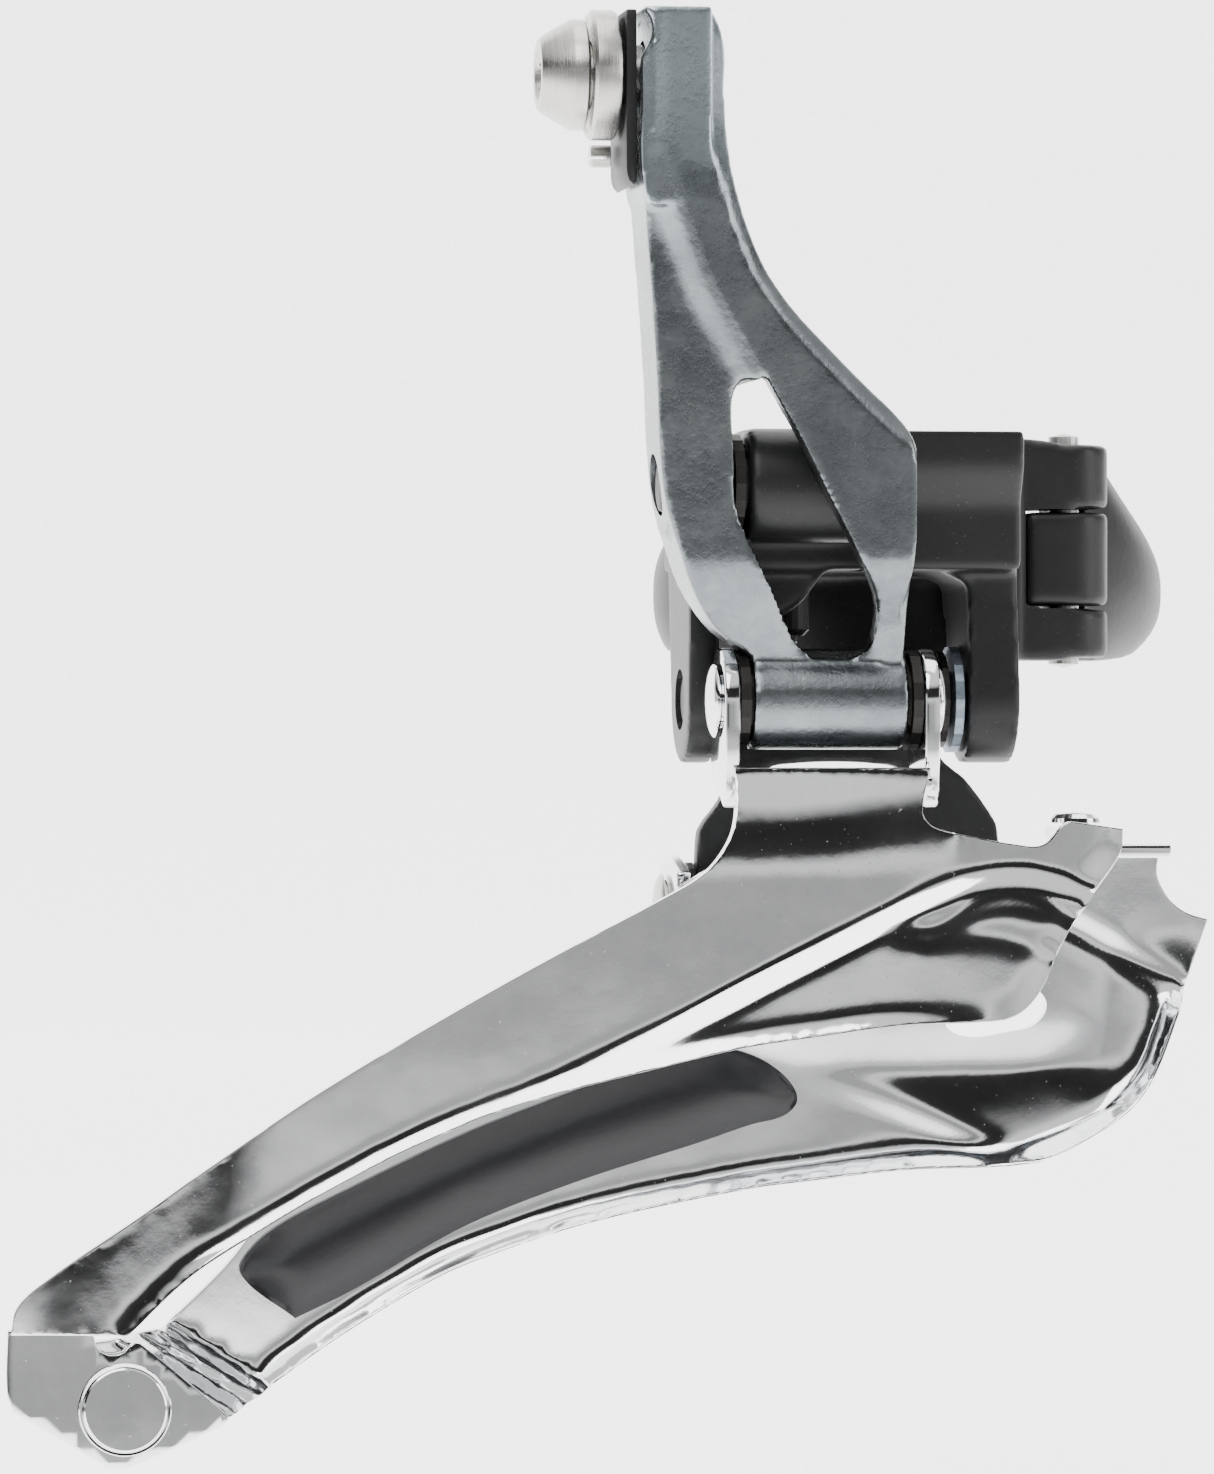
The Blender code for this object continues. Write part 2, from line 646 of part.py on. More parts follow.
def make_spring():
    """The return spring wound round the lower link barrel, one open end."""
    turns, points_per_turn = 4, 14
    radius, wire = 4.65, 0.42
    start, pitch = -19.0, 1.35
    count = turns * points_per_turn
    points = []
    for i in range(count + 1):
        angle = math.tau * i / points_per_turn + math.radians(200)
        points.append((start + pitch * i / points_per_turn,
                       PIVOT_D[0] + radius * math.cos(angle),
                       PIVOT_D[1] + radius * math.sin(angle)))
    x, y, z = points[-1]
    points.append((x + 0.6, y, z - 0.9))
    curve = bpy.data.curves.new("spring_wire", "CURVE")
    curve.dimensions = "3D"
    spline = curve.splines.new("POLY")
    spline.points.add(len(points) - 1)
    for point, place in zip(spline.points, points):
        point.co = (*[c * MM for c in place], 1)
    curve.bevel_depth = wire * MM
    curve.bevel_resolution = 2
    curve.use_fill_caps = True
    obj = bpy.data.objects.new("return_spring", curve)
    PARTS.objects.link(obj)
    curve.materials.append(MATERIALS["bare_steel"])
    axis = AXES["inner_link"]
    obj.parent = axis
    obj.matrix_parent_inverse = Matrix.Translation(-axis.location)


# ---- cage ----

OUTER_TOP = [
    (-78.4, -61.6), (-77.9, -59.4), (-75.3, -57.1), (-68.8, -52.6),
    (-64.0, -49.1), (-55.2, -43.1), (-43.3, -36.1), (-34.3, -31.2),
    (-28.3, -28.1), (-24.5, -25.8), (-22.6, -23.3), (-22.0, -21.0),
    (-21.9, -18.0)]
OUTER_FRONT = [
    (-6.4, -18.0), (-7.4, -20.6), (-7.2, -21.9), (-6.4, -22.3),
    (1.4, -23.9), (3.7, -21.9), (8.8, -22.4), (8.4, -24.4), (6.7, -27.1),
    (4.4, -30.1), (3.2, -32.2), (2.3, -34.2), (1.0, -36.2), (-0.6, -37.3),
    (-3.1, -37.5), (-9.3, -37.8)]
OUTER_LOW = [
    (-15.5, -38.6), (-22.3, -39.6), (-28.3, -41.0), (-37.3, -43.3),
    (-43.3, -45.3), (-52.2, -49.4), (-60.9, -54.4), (-65.0, -57.2),
    (-69.5, -61.6)]


def ridge_height(x):
    """The step across the outer plate rises towards the nose."""
    return -41.0 + 14.6 * smooth(x, -36, -2) - 1.8 * smooth(x, -3, 6)


def outer_face(x, z):
    y = OUTER_Y
    if x < -5.0:
        y += 6.6 * smooth(z, -26.5, -18.0)
    y += 2.0 * smooth(ridge_height(x) - z, 0.0, 2.2)
    y += 4.6 * smooth(-x, 56, 79)
    return y


def make_outer_plate():
    outline = OUTER_TOP + OUTER_FRONT + OUTER_LOW
    plate = slab(
        "outer_blade", outline, outer_face,
        lambda x, z: outer_face(x, z) + SHEET,
        cuts_x=steps_between(-79, 9, 4.4),
        cuts_z=steps_between(-62, -18, 2.2))
    tab = slab(
        "tail_tab", [(-78.6, -61.4), (-78.7, -66.0), (-78.2, -67.5),
                     (-71.0, -71.9), (-69.5, -72.0), (-61.4, -68.4),
                     (-62.0, -67.5), (-69.2, -61.4)],
        -44.2, -44.2 + SHEET)
    y, z = PIVOT_C
    pieces = [tab]
    for index, (x0, x1) in enumerate(CAGE_EARS_X):
        round_end = arc(y, z, 4.1, 0, 180, 10)
        outline = round_end + [(-45.1, -17.0), (-43.4, -19.6),
                               (-41.2, -19.6), (-36.9, -17.2)]
        pieces.append(side_plate(f"cage_ear_{index}", outline, x0, x1))
    neck = side_plate(
        "neck", [(-45.1, -17.6), (-44.8, -20.4), (-43.2, -21.2),
                 (-37.2, -18.8), (-37.2, -17.6)],
        CAGE_EARS_X[0][0], CAGE_EARS_X[1][1])
    strap = box("bridge_strap", (4.2, OUTER_Y + 0.2, -23.5),
                (8.6, INNER_Y + 0.4, -22.4))
    add(plate, *pieces, neck, strap)
    cut(plate, rod_x("cage_pin_hole", PIVOT_C, -40, 10, PIN_R + 0.25),
        rod("tail_hole", (-69.6, -50, -67.4), (-69.6, -40, -67.4), 3.0),
        rod("bridge_hole", (6.4, -39.6, -30), (6.4, -39.6, -15), 1.35, 16))
    return as_part(plate, "outer_plate", "chrome", "cage")


INNER_TOP = [
    (-61.0, -56.6), (-56.6, -51.0), (-51.1, -47.4), (-42.1, -42.2),
    (-34.4, -38.2), (-28.3, -35.0), (-25.2, -32.0), (-25.2, -27.2),
    (-22.6, -25.6), (3.7, -25.6), (5.2, -24.4), (14.3, -24.4)]
INNER_FRONT = [
    (14.0, -26.6), (15.1, -28.2), (16.4, -29.3), (18.0, -29.8),
    (15.3, -37.0), (13.1, -42.3), (11.0, -45.1), (7.5, -47.3),
    (3.3, -49.1), (-0.4, -49.5), (-7.0, -49.7)]
INNER_LOW = [
    (-15.4, -50.6), (-20.1, -51.2), (-32.8, -53.8), (-42.0, -56.8),
    (-45.8, -58.6), (-52.6, -62.7), (-58.6, -66.9)]


def inner_face(x, z):
    y = INNER_Y
    y -= 1.0 * smooth(x, 0, 16)
    y -= 5.2 * smooth(-x, 57.5, 63.5)
    return y


def make_inner_plate():
    tail = [(-62.4, -68.9), (-69.4, -71.2), (-76.9, -66.8), (-76.9, -62.9),
            (-66.0, -61.5)]
    window = [(-3.4, -38.6), (2.6, -38.6), (4.2, -37.6), (4.4, -36.4),
              (2.8, -35.0), (-2.0, -35.0)]
    plate = slab(
        "inner_blade", INNER_TOP + INNER_FRONT + INNER_LOW + tail,
        inner_face, lambda x, z: inner_face(x, z) + SHEET,
        cuts_x=steps_between(-77, 18, 4.6),
        cuts_z=steps_between(-70, -24, 4.6), holes=[window])
    y, z = PIVOT_D
    ears = []
    for index, (x0, x1) in enumerate(LOW_EARS_X):
        round_end = arc(y, z, 4.4, -90, 90, 10)
        outline = round_end + [(INNER_Y + 0.4, -26.0), (INNER_Y + 0.4, -34.6)]
        ears.append(side_plate(f"low_ear_{index}", outline, x0, x1))
    flange = box("bridge_flange", (4.2, -41.6, -24.9), (13.9, -36.6, -23.8))
    add(plate, *ears, flange)
    cut(plate, rod_x("low_pin_hole", PIVOT_D, -40, 10, PIN_R + 0.25),
        rod("inner_tail_hole", (-69.6, -50, -67.4), (-69.6, -36, -67.4),
            3.0),
        rod("inner_bridge_hole", (6.4, -39.6, -30), (6.4, -39.6, -15),
            1.35, 16))
    return as_part(plate, "inner_plate", "chrome", "cage")


def make_insert():
    outline = [
        (-60.1, -57.4), (-59.0, -56.0), (-56.6, -54.6), (-51.1, -51.9),
        (-42.1, -47.7), (-34.4, -44.8), (-28.3, -42.6), (-22.8, -40.8),
        (-21.4, -40.7), (-17.7, -41.6), (-15.7, -43.8), (-15.8, -45.0),
        (-17.7, -45.9), (-23.8, -47.4), (-32.9, -50.4), (-42.1, -53.9),
        (-51.1, -58.9), (-55.7, -61.1)]
    insert = slab(
        "insert", outline, lambda x, z: INNER_Y - 2.3,
        lambda x, z: inner_face(x, z) - GAP,
        cuts_x=steps_between(-60, -16, 6.0))
    as_part(insert, "guide_insert", "resin", "cage")


def make_cage_hardware():
    pins = (
        ("cage_pivot_pin", PIVOT_C, CAGE_EARS_X, "cage", 2.95, "chrome"),
        ("lower_pivot_pin", PIVOT_D, LOW_EARS_X, "cage", 2.95, "bare_steel"),
        ("link_pivot_pin", PIVOT_B, LUGS_X, "base", 2.7, "bare_steel"))
    for name, pivot, spans, body, head, material in pins:
        pin = rivet(name, pivot, spans[0][0] - GAP, spans[1][1] + GAP,
                    PIN_R, head, 0.7)
        as_part(pin, name, material, body)
    pin = rivet("arm_pivot_pin", PIVOT_A, ARM_X[0] - 0.5, ARM_X[1] + GAP,
                PIN_R, 2.7, 0.5)
    as_part(pin, "arm_pivot_pin", "bare_steel")
    tail = turned(
        "tail_rivet",
        [(0, 0.8), (3.3, 0.8), (3.6, 0.4), (3.6, 0), (2.75, 0),
         (2.75, -3.6), (3.6, -3.6), (3.6, -4.1), (3.2, -4.5), (0, -4.5)],
        (-69.6, -44.2 - GAP, -67.4), (0, -1, 0), 32)
    as_part(tail, "tail_rivet", "chrome", "cage")
    bridge = turned(
        "bridge_rivet",
        [(0, 0.8), (1.6, 0.7), (2.0, 0.3), (2.0, 0), (1.1, 0), (1.1, -3.1),
         (2.0, -3.1), (2.0, -3.4), (1.6, -3.8), (0, -3.9)],
        (6.4, -39.6, -22.4 + GAP), (0, 0, 1), 16)
    as_part(bridge, "bridge_rivet", "chrome", "cage")


def make_limit_screws():
    """Two slotted-socket grub screws that bear on the inner link."""
    for name, y, tip in (("high_limit_screw", HIGH_SCREW_Y, SCREW_TIP + 0.1),
                         ("low_limit_screw", LOW_SCREW_Y, SCREW_TIP - 0.8)):
        top = 7.6
        profile = [
            (0, top - 2.0), (0.8, top - 2.0), (0.8, top), (1.1, top),
            (SCREW_R, top - 0.3), (SCREW_R, tip + 0.5), (0.9, tip), (0, tip)]
        screw = turned(name, profile, (SCREW_X, y, 0), (0, 0, 1), 18)
        AXES[name] = empty(name + "_axis", SCREW_X, y, 0)
        as_part(screw, name, "bare_steel", name)


make_clamp_body()
make_clamp_band()
make_clamp_hardware()
make_arm()
make_arm_hardware()
make_link()
make_spring()
make_outer_plate()
make_inner_plate()
make_insert()
make_cage_hardware()
make_limit_screws()
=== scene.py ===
import json
import math
import bpy
from mathutils import Matrix, Vector


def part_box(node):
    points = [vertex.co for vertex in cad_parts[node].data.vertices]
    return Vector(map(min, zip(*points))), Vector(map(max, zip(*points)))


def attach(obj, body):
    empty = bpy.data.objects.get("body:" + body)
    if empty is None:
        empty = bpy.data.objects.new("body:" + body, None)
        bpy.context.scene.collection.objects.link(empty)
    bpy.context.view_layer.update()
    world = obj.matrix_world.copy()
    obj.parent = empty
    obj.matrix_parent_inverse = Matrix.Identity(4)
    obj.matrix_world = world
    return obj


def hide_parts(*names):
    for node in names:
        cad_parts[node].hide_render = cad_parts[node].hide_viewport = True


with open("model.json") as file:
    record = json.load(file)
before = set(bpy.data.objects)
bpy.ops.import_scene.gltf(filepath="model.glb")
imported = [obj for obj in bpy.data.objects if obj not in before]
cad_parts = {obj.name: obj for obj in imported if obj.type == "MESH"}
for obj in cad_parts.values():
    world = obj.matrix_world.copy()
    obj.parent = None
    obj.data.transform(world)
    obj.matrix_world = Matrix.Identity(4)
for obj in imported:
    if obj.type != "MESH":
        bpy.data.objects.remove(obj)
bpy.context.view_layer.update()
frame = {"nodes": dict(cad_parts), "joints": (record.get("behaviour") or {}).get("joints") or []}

mm = 0.001
joints = {j["name"]: j for j in frame["joints"]}


def pivotOf(joint):
    return Vector(joints[joint]["pos_m"]) / mm


pivotA = pivotOf("arm_swing")
pivotB = pivotOf("link_swing")
pivotC = pivotOf("cage_pivot")
pivotD = pivotB + pivotC - pivotA
hinge = pivotOf("clamp_opening")
anchor = pivotOf("cable_bolt_turn")
sideways = (1, 0, 0)


def middleOf(node):
    low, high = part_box(node)
    return (low + high) / 2 / mm


tailSpot = middleOf("tail_rivet")
bridgeSpot = middleOf("bridge_rivet")
# every pivot has the same pin, running bore, bush seat and riveted head
pin = {"shank": 2.2, "bore": 2.45, "seat": 3.3, "head": 2.95, "rise": 0.68}


# camera
view = {"turn": -8.0, "distance": 620.0, "across": -25.4, "height": -15.3,
        "lens": 216.9}


def setCamera():
    turn = math.radians(view["turn"])
    right = Vector((math.cos(turn), math.sin(turn), 0))
    back = Vector((math.sin(turn), -math.cos(turn), 0))
    place = right * view["across"] + back * view["distance"]
    place.z = view["height"]
    bpy.ops.object.camera_add(location=place * mm)
    camera = bpy.context.active_object
    camera.rotation_euler = (math.radians(90), 0, turn)
    camera.data.sensor_fit = "HORIZONTAL"
    camera.data.sensor_width = 36
    camera.data.lens = view["lens"]
    camera.data.clip_start = 0.05
    bpy.context.scene.camera = camera


# small shader helper: a Val is one output socket, and sums on it add Math nodes
class Val:
    def __init__(self, shade, socket):
        self.shade = shade
        self.socket = socket

    def math(self, kind, *others):
        return self.shade.node("ShaderNodeMath", {"operation": kind}, (self, *others))

    def __add__(self, other):
        return self.math("ADD", other)

    def __sub__(self, other):
        return self.math("SUBTRACT", other)

    def __rsub__(self, other):
        return self.shade.node("ShaderNodeMath", {"operation": "SUBTRACT"}, (other, self))

    def __mul__(self, other):
        return self.math("MULTIPLY", other)

    def __truediv__(self, other):
        return self.math("DIVIDE", other)

    def __pow__(self, other):
        return self.math("POWER", other)

    __radd__ = __add__
    __rmul__ = __mul__

    def clip(self):
        return self.math("MINIMUM", 1.0).math("MAXIMUM", 0.0)

    def between(self, low, high):
        return ((self - low) / (high - low)).clip()


class Shade:
    def __init__(self, name, tree=None):
        if tree:
            self.tree = tree
            return
        self.material = bpy.data.materials.new(name)
        self.material.use_nodes = True
        self.tree = self.material.node_tree
        self.surface = self.tree.nodes["Principled BSDF"]
        self.place = self.node("ShaderNodeTexCoord", {}, (), "Object")

    def node(self, kind, settings, links, out=0):
        made = self.tree.nodes.new(kind)
        for key, value in settings.items():
            if key == "stops":
                ramp = made.color_ramp.elements
                while len(ramp) < len(value):
                    ramp.new(0.5)
                for stop, (at, colour) in zip(ramp, value):
                    stop.position = at
                    stop.color = (*colour, 1)
            else:
                setattr(made, key, value)
        pairs = links.items() if isinstance(links, dict) else enumerate(links)
        for slot, value in pairs:
            if isinstance(value, Val):
                self.tree.links.new(value.socket, made.inputs[slot])
            else:
                made.inputs[slot].default_value = value
        return Val(self, made.outputs[out])

    def noise(self, scale, detail=3.0, rough=0.55, place=None, stretch=None):
        where = place or self.place
        if stretch:
            where = self.node("ShaderNodeMapping", {}, {"Vector": where, "Scale": stretch})
        return self.node("ShaderNodeTexNoise", {}, {
            "Vector": where, "Scale": scale, "Detail": detail, "Roughness": rough})

    def blend(self, mask, low, high):
        return self.node("ShaderNodeMix", {"data_type": "RGBA"},
                         {0: mask, 6: (*low, 1), 7: (*high, 1)}, 2)

    def blendOver(self, mask, below, high):
        return self.node("ShaderNodeMix", {"data_type": "RGBA"},
                         {0: mask, 6: below, 7: (*high, 1)}, 2)

    def mix(self, mask, below, above):
        return self.node("ShaderNodeMix", {"data_type": "RGBA"}, {0: mask, 6: below, 7: above}, 2)

    def split(self, vector):
        return [self.node("ShaderNodeSeparateXYZ", {}, (vector,), out) for out in range(3)]

    def ramp(self, mask, stops):
        return self.node("ShaderNodeValToRGB", {
            "stops": [(at, (tone, tone, tone)) for at, tone in stops]}, (mask,))

    def edges(self, low, high):
        sharp = self.node("ShaderNodeNewGeometry", {}, (), "Pointiness")
        return sharp.between(low, high)

    def bump(self, height, strength, depth):
        return self.node("ShaderNodeBump", {}, {
            "Strength": strength, "Distance": depth, "Height": height})

    def finish(self, linked, fixed):
        for name, value in linked.items():
            self.tree.links.new(value.socket, self.surface.inputs[name])
        for name, value in fixed.items():
            self.surface.inputs[name].default_value = value
        return self.material


def chromeFinish():
    s = Shade("chromePlating")
    waves = s.noise(95, 2.0, 0.4)
    haze = s.noise(420, 4.0, 0.6)
    specks = s.noise(3800, 2.0, 0.5).between(0.70, 0.76)
    smears = s.noise(60, 3.0, 0.6, stretch=(1, 1, 3)).between(0.42, 0.72)
    colour = s.blend(haze.between(0.3, 0.7), (0.80, 0.81, 0.83), (0.88, 0.885, 0.895))
    colour = s.blendOver(specks * 0.6, colour, (0.42, 0.42, 0.43))
    return s.finish(
        {"Base Color": colour,
         "Roughness": 0.055 + smears * 0.05 + haze * 0.035 + specks * 0.25,
         "Normal": s.bump(waves + haze * 0.06, 0.16, 0.0007)},
        {"Metallic": 1.0})


def forgedFinish():
    s = Shade("darkAnodisedForging")
    clouds = s.noise(150, 5.0, 0.62)
    blotches = s.noise(520, 4.0, 0.6)
    grain = s.noise(2600, 3.0, 0.6)
    colour = s.blend(clouds.between(0.34, 0.66), (0.135, 0.148, 0.156), (0.20, 0.216, 0.224))
    colour = s.blendOver(blotches.between(0.52, 0.74) * 0.4, colour, (0.25, 0.275, 0.28))
    # painted highlight: the top of the arm is painted paler, standing in for the light it catches
    height = s.split(s.place)[2]
    colour = s.blendOver(height.between(0.022, 0.036) * 0.8, colour, (0.42, 0.48, 0.51))
    return s.finish(
        {"Base Color": colour,
         "Roughness": 0.19 + blotches * 0.12 + grain * 0.06,
         "Normal": s.bump(grain * 0.55 + blotches, 0.22, 0.00022)},
        {"Metallic": 1.0})


def blackFinish(name, tone, rough, coat):
    s = Shade(name)
    peel = s.noise(1500, 3.0, 0.5)
    clouds = s.noise(130, 4.0, 0.6)
    dust = s.noise(5200, 1.0, 0.5).between(0.755, 0.79)
    colour = s.blend(clouds, tone, tuple(c * 1.5 for c in tone))
    # painted highlight: sharp edges (high pointiness) are painted paler, standing in for the light
    # they catch
    colour = s.blendOver(s.edges(0.54, 0.64) * 0.22, colour, (0.13, 0.13, 0.135))
    colour = s.blendOver(dust * 0.25, colour, (0.22, 0.22, 0.22))
    return s.finish(
        {"Base Color": colour,
         "Roughness": rough + clouds * 0.10 + peel * 0.05,
         "Normal": s.bump(peel, 0.12, 0.00018)},
        {"Coat Weight": coat, "Coat Roughness": 0.4, "Specular IOR Level": 0.30})


def resinFinish():
    s = Shade("blackResin")
    flow = s.noise(240, 3.0, 0.5, stretch=(0.35, 1, 1))
    grain = s.noise(3400, 2.0, 0.5)
    rubbed = s.noise(190, 4.0, 0.65, stretch=(0.3, 1, 1)).between(0.60, 0.80)
    colour = s.blend(flow, (0.006, 0.006, 0.007), (0.011, 0.011, 0.0125))
    colour = s.blendOver(rubbed * 0.25, colour, (0.03, 0.03, 0.032))
    return s.finish(
        {"Base Color": colour,
         "Roughness": 0.36 + rubbed * 0.12 + grain * 0.05,
         "Normal": s.bump(grain + flow * 0.4, 0.10, 0.00014)},
        {"Specular IOR Level": 0.28})


def turnedFinish(name, centre, axis, light, dark, rough):
    # lathe marks are fine rings round the piece's own axis
    s = Shade(name)
    outs = s.split(s.place)
    across = [i for i in range(3) if i != axis]
    square = [(outs[i] - centre[i] * mm) ** 2.0 for i in across]
    radius = (square[0] + square[1]) ** 0.5
    where = s.node("ShaderNodeCombineXYZ", {}, (radius * 16000, outs[axis] * 16000, 0.0))
    marks = s.noise(1.0, 2.0, 0.7, place=where)
    stain = s.noise(420, 4.0, 0.6)
    colour = s.blend((marks * 0.5 + stain * 0.5).between(0.3, 0.7), dark, light)
    return s.finish(
        {"Base Color": colour,
         "Roughness": rough + stain * 0.12 + marks * 0.08,
         "Normal": s.bump(marks, 0.22, 0.00010)},
        {"Metallic": 1.0})


def zincFinish():
    s = Shade("blueZinc")
    flakes = s.noise(900, 3.0, 0.65)
    clouds = s.noise(200, 3.0, 0.5)
    colour = s.blend(flakes.between(0.35, 0.65), (0.16, 0.19, 0.23), (0.30, 0.35, 0.41))
    return s.finish(
        {"Base Color": colour,
         "Roughness": 0.34 + clouds * 0.2,
         "Normal": s.bump(flakes, 0.15, 0.0002)},
        {"Metallic": 0.9})


finishes = {
    "chrome": chromeFinish(),
    "forged": forgedFinish(),
    "black": blackFinish("satinBlackCoat", (0.0065, 0.0065, 0.007), 0.33, 0.0),
    "link": blackFinish("blackOxide", (0.008, 0.008, 0.0083), 0.38, 0.0),
    "resin": resinFinish(),
    "zinc": zincFinish(),
    "anchor": turnedFinish("turnedSteelAnchor", anchor, 0, (0.58, 0.565, 0.54),
                           (0.42, 0.41, 0.39), 0.16),
    "pinA": turnedFinish("turnedSteelPin", pivotA, 0, (0.62, 0.61, 0.59),
                         (0.47, 0.46, 0.44), 0.22),
    "upright": turnedFinish("turnedSteelUpright", hinge, 2, (0.60, 0.59, 0.57),
                            (0.45, 0.44, 0.42), 0.26),
    "bronze": turnedFinish("coatedBearing", pivotC, 0, (0.040, 0.038, 0.036),
                           (0.022, 0.021, 0.020), 0.36),
}
print("materials ready")


# modelling helpers, all in millimetres until a mesh is written
def quiet():
    if bpy.context.mode != "OBJECT":
        bpy.ops.object.mode_set(mode="OBJECT")
    bpy.ops.object.select_all(action="DESELECT")


def pick(*pieces):
    quiet()
    for piece in pieces:
        piece.select_set(True)
    bpy.context.view_layer.objects.active = pieces[0]


def named(name):
    piece = bpy.context.active_object
    piece.name = name
    piece.data.name = name
    return piece


def settle(piece):
    pick(piece)
    bpy.ops.object.transform_apply(location=True, rotation=True, scale=True)
    return piece


def applyAll(piece):
    pick(piece)
    for modifier in list(piece.modifiers):
        bpy.ops.object.modifier_apply(modifier=modifier.name)
    return piece


def joined(name, pieces):
    pick(*pieces)
    bpy.ops.object.join()
    return named(name)


def boolean(piece, kind, *others):
    for other in others:
        step = piece.modifiers.new(other.name, "BOOLEAN")
        step.operation = kind
        step.object = other
        step.solver = "EXACT"
        applyAll(piece)
        bpy.data.objects.remove(other)
    return piece


def cut(piece, *others):
    return boolean(piece, "DIFFERENCE", *others)


def unite(piece, *others):
    return boolean(piece, "UNION", *others)


def rod(start, end, radius, sides=64):
    start, end = Vector(start), Vector(end)
    along = end - start
    quiet()
    bpy.ops.mesh.primitive_cylinder_add(
        vertices=sides, radius=radius * mm, depth=along.length * mm,
        location=(start + end) / 2 * mm,
        rotation=along.to_track_quat("Z", "Y").to_euler())
    return settle(named("rod"))


def rodX(pivot, x0, x1, radius, sides=64):
    return rod((x0, pivot.y, pivot.z), (x1, pivot.y, pivot.z), radius, sides)


def bore(pivot, end):
    return rodX(pivot, -40, end, pin["bore"], 40)


def bushSeat(pivot, x0, x1):
    return rodX(pivot, x0, x1, pin["seat"], 48)


def tailHole(end):
    return rod((tailSpot.x, -50, tailSpot.z), (tailSpot.x, end, tailSpot.z), 3.0, 48)


def bridgeHole():
    x, y = bridgeSpot.xy
    return rod((x, y, -30), (x, y, -15), 1.35, 32)


def block(low, high, bevel=0.0):
    quiet()
    middle = [(a + b) / 2 * mm for a, b in zip(low, high)]
    bpy.ops.mesh.primitive_cube_add(size=1.0, location=middle)
    piece = named("block")
    piece.scale = [(b - a) * mm for a, b in zip(low, high)]
    settle(piece)
    if bevel:
        soften(piece, bevel, 3)
    return piece


def soften(piece, width, segments=2, angle=35):
    step = piece.modifiers.new("soften", "BEVEL")
    step.width = width * mm
    step.segments = segments
    step.limit_method = "ANGLE"
    step.angle_limit = math.radians(angle)
    step.use_clamp_overlap = True
    return applyAll(piece)


def roundOut(piece):
    # evens out the height of the sheet alone, so its outline keeps its shape
    even = piece.modifiers.new("even", "SMOOTH")
    even.use_x = False
    even.use_z = False
    even.iterations = 3
    step = piece.modifiers.new("round", "SUBSURF")
    step.levels = 1
    step.render_levels = 1
    return applyAll(piece)


def smoothLoop(points, gap):
    # a third value marks a corner that stays sharp
    count = len(points)
    flat = [Vector(p[:2]) for p in points]
    sharp = [len(p) > 2 for p in points]
    out = []
    for i in range(count):
        a, b = flat[i], flat[(i + 1) % count]
        before, after = flat[i - 1], flat[(i + 2) % count]
        length = (b - a).length
        leave = (b - a) if sharp[i] else (b - before)
        arrive = (b - a) if sharp[(i + 1) % count] else (after - a)
        leave = leave.normalized() * length
        arrive = arrive.normalized() * length
        steps = max(1, round(length / gap))
        for k in range(steps):
            t = k / steps
            h1 = 2 * t ** 3 - 3 * t ** 2 + 1
            h2 = t ** 3 - 2 * t ** 2 + t
            h3 = 3 * t ** 2 - 2 * t ** 3
            h4 = t ** 3 - t ** 2
            out.append(a * h1 + leave * h2 + b * h3 + arrive * h4)
    return out


def smoothPath(points, gap):
    # the same curve with open ends
    loop = smoothLoop([(*points[0], 1)] + list(points[1:-1]) + [(*points[-1], 1)], gap)
    last = min(range(len(loop)), key=lambda i: (loop[i] - Vector(points[-1][:2])).length)
    return [tuple(point) for point in loop[:last + 1]]


def smooth(value, low, high):
    t = min(1.0, max(0.0, (value - low) / (high - low)))
    return t * t * (3 - 2 * t)


def level(value):
    return value if callable(value) else lambda x, z: value


def stations(low, high, step):
    count = int((high - low) / step)
    return [low + (high - low) * (i + 0.5) / count for i in range(count)]


def sheetFrom(name, outline, rim, step, tilt=0.0, extra=()):
    # a filled circle's points are drawn out to the outline, then it is inset and sliced
    quiet()
    bpy.ops.mesh.primitive_circle_add(vertices=len(outline), radius=0.01, fill_type="NGON")
    piece = named(name)
    for vert, point in zip(piece.data.vertices, outline):
        vert.co = (point.x * mm, 0, point.y * mm)
    bpy.ops.object.mode_set(mode="EDIT")
    bpy.ops.mesh.select_all(action="SELECT")
    for width in rim:
        bpy.ops.mesh.inset(thickness=width * mm)
    slices = list(extra)
    for turn in (tilt, tilt + 90):
        reach = [point.dot(Vector(polar(1, turn))) for point in outline]
        slices.append((turn, min(reach), max(reach), step))
    for turn, low, high, gap in slices:
        normal = Vector(polar(1, turn))
        for place in stations(low, high, gap):
            bpy.ops.mesh.select_all(action="SELECT")
            bpy.ops.mesh.bisect(plane_co=(normal.x * place * mm, 0, normal.y * place * mm),
                                plane_no=(normal.x, 0, normal.y))
    bpy.ops.object.mode_set(mode="OBJECT")
    return piece


def thicken(piece, front, back):
    front, back = level(front), level(back)
    count = len(piece.data.vertices)
    bpy.ops.object.mode_set(mode="EDIT")
    bpy.ops.mesh.select_all(action="SELECT")
    bpy.ops.mesh.extrude_region_move(TRANSFORM_OT_translate={"value": (0, mm, 0)})
    bpy.ops.object.mode_set(mode="OBJECT")
    for vert in piece.data.vertices:
        x, z = vert.co.x / mm, vert.co.z / mm
        side = back if vert.co.y > mm * 0.5 else front
        vert.co.y = side(x, z) * mm
    bpy.ops.object.mode_set(mode="EDIT")
    bpy.ops.mesh.select_all(action="SELECT")
    bpy.ops.mesh.normals_make_consistent(inside=False)
    bpy.ops.object.mode_set(mode="OBJECT")
    return piece


# a grid step wider than any piece leaves it unsliced
unsliced = 1000.0


def prism(outline, front, back, gap=1.0, step=unsliced, tilt=0.0):
    piece = sheetFrom("prism", smoothLoop(outline, gap), (), step, tilt)
    return thicken(piece, front, back)


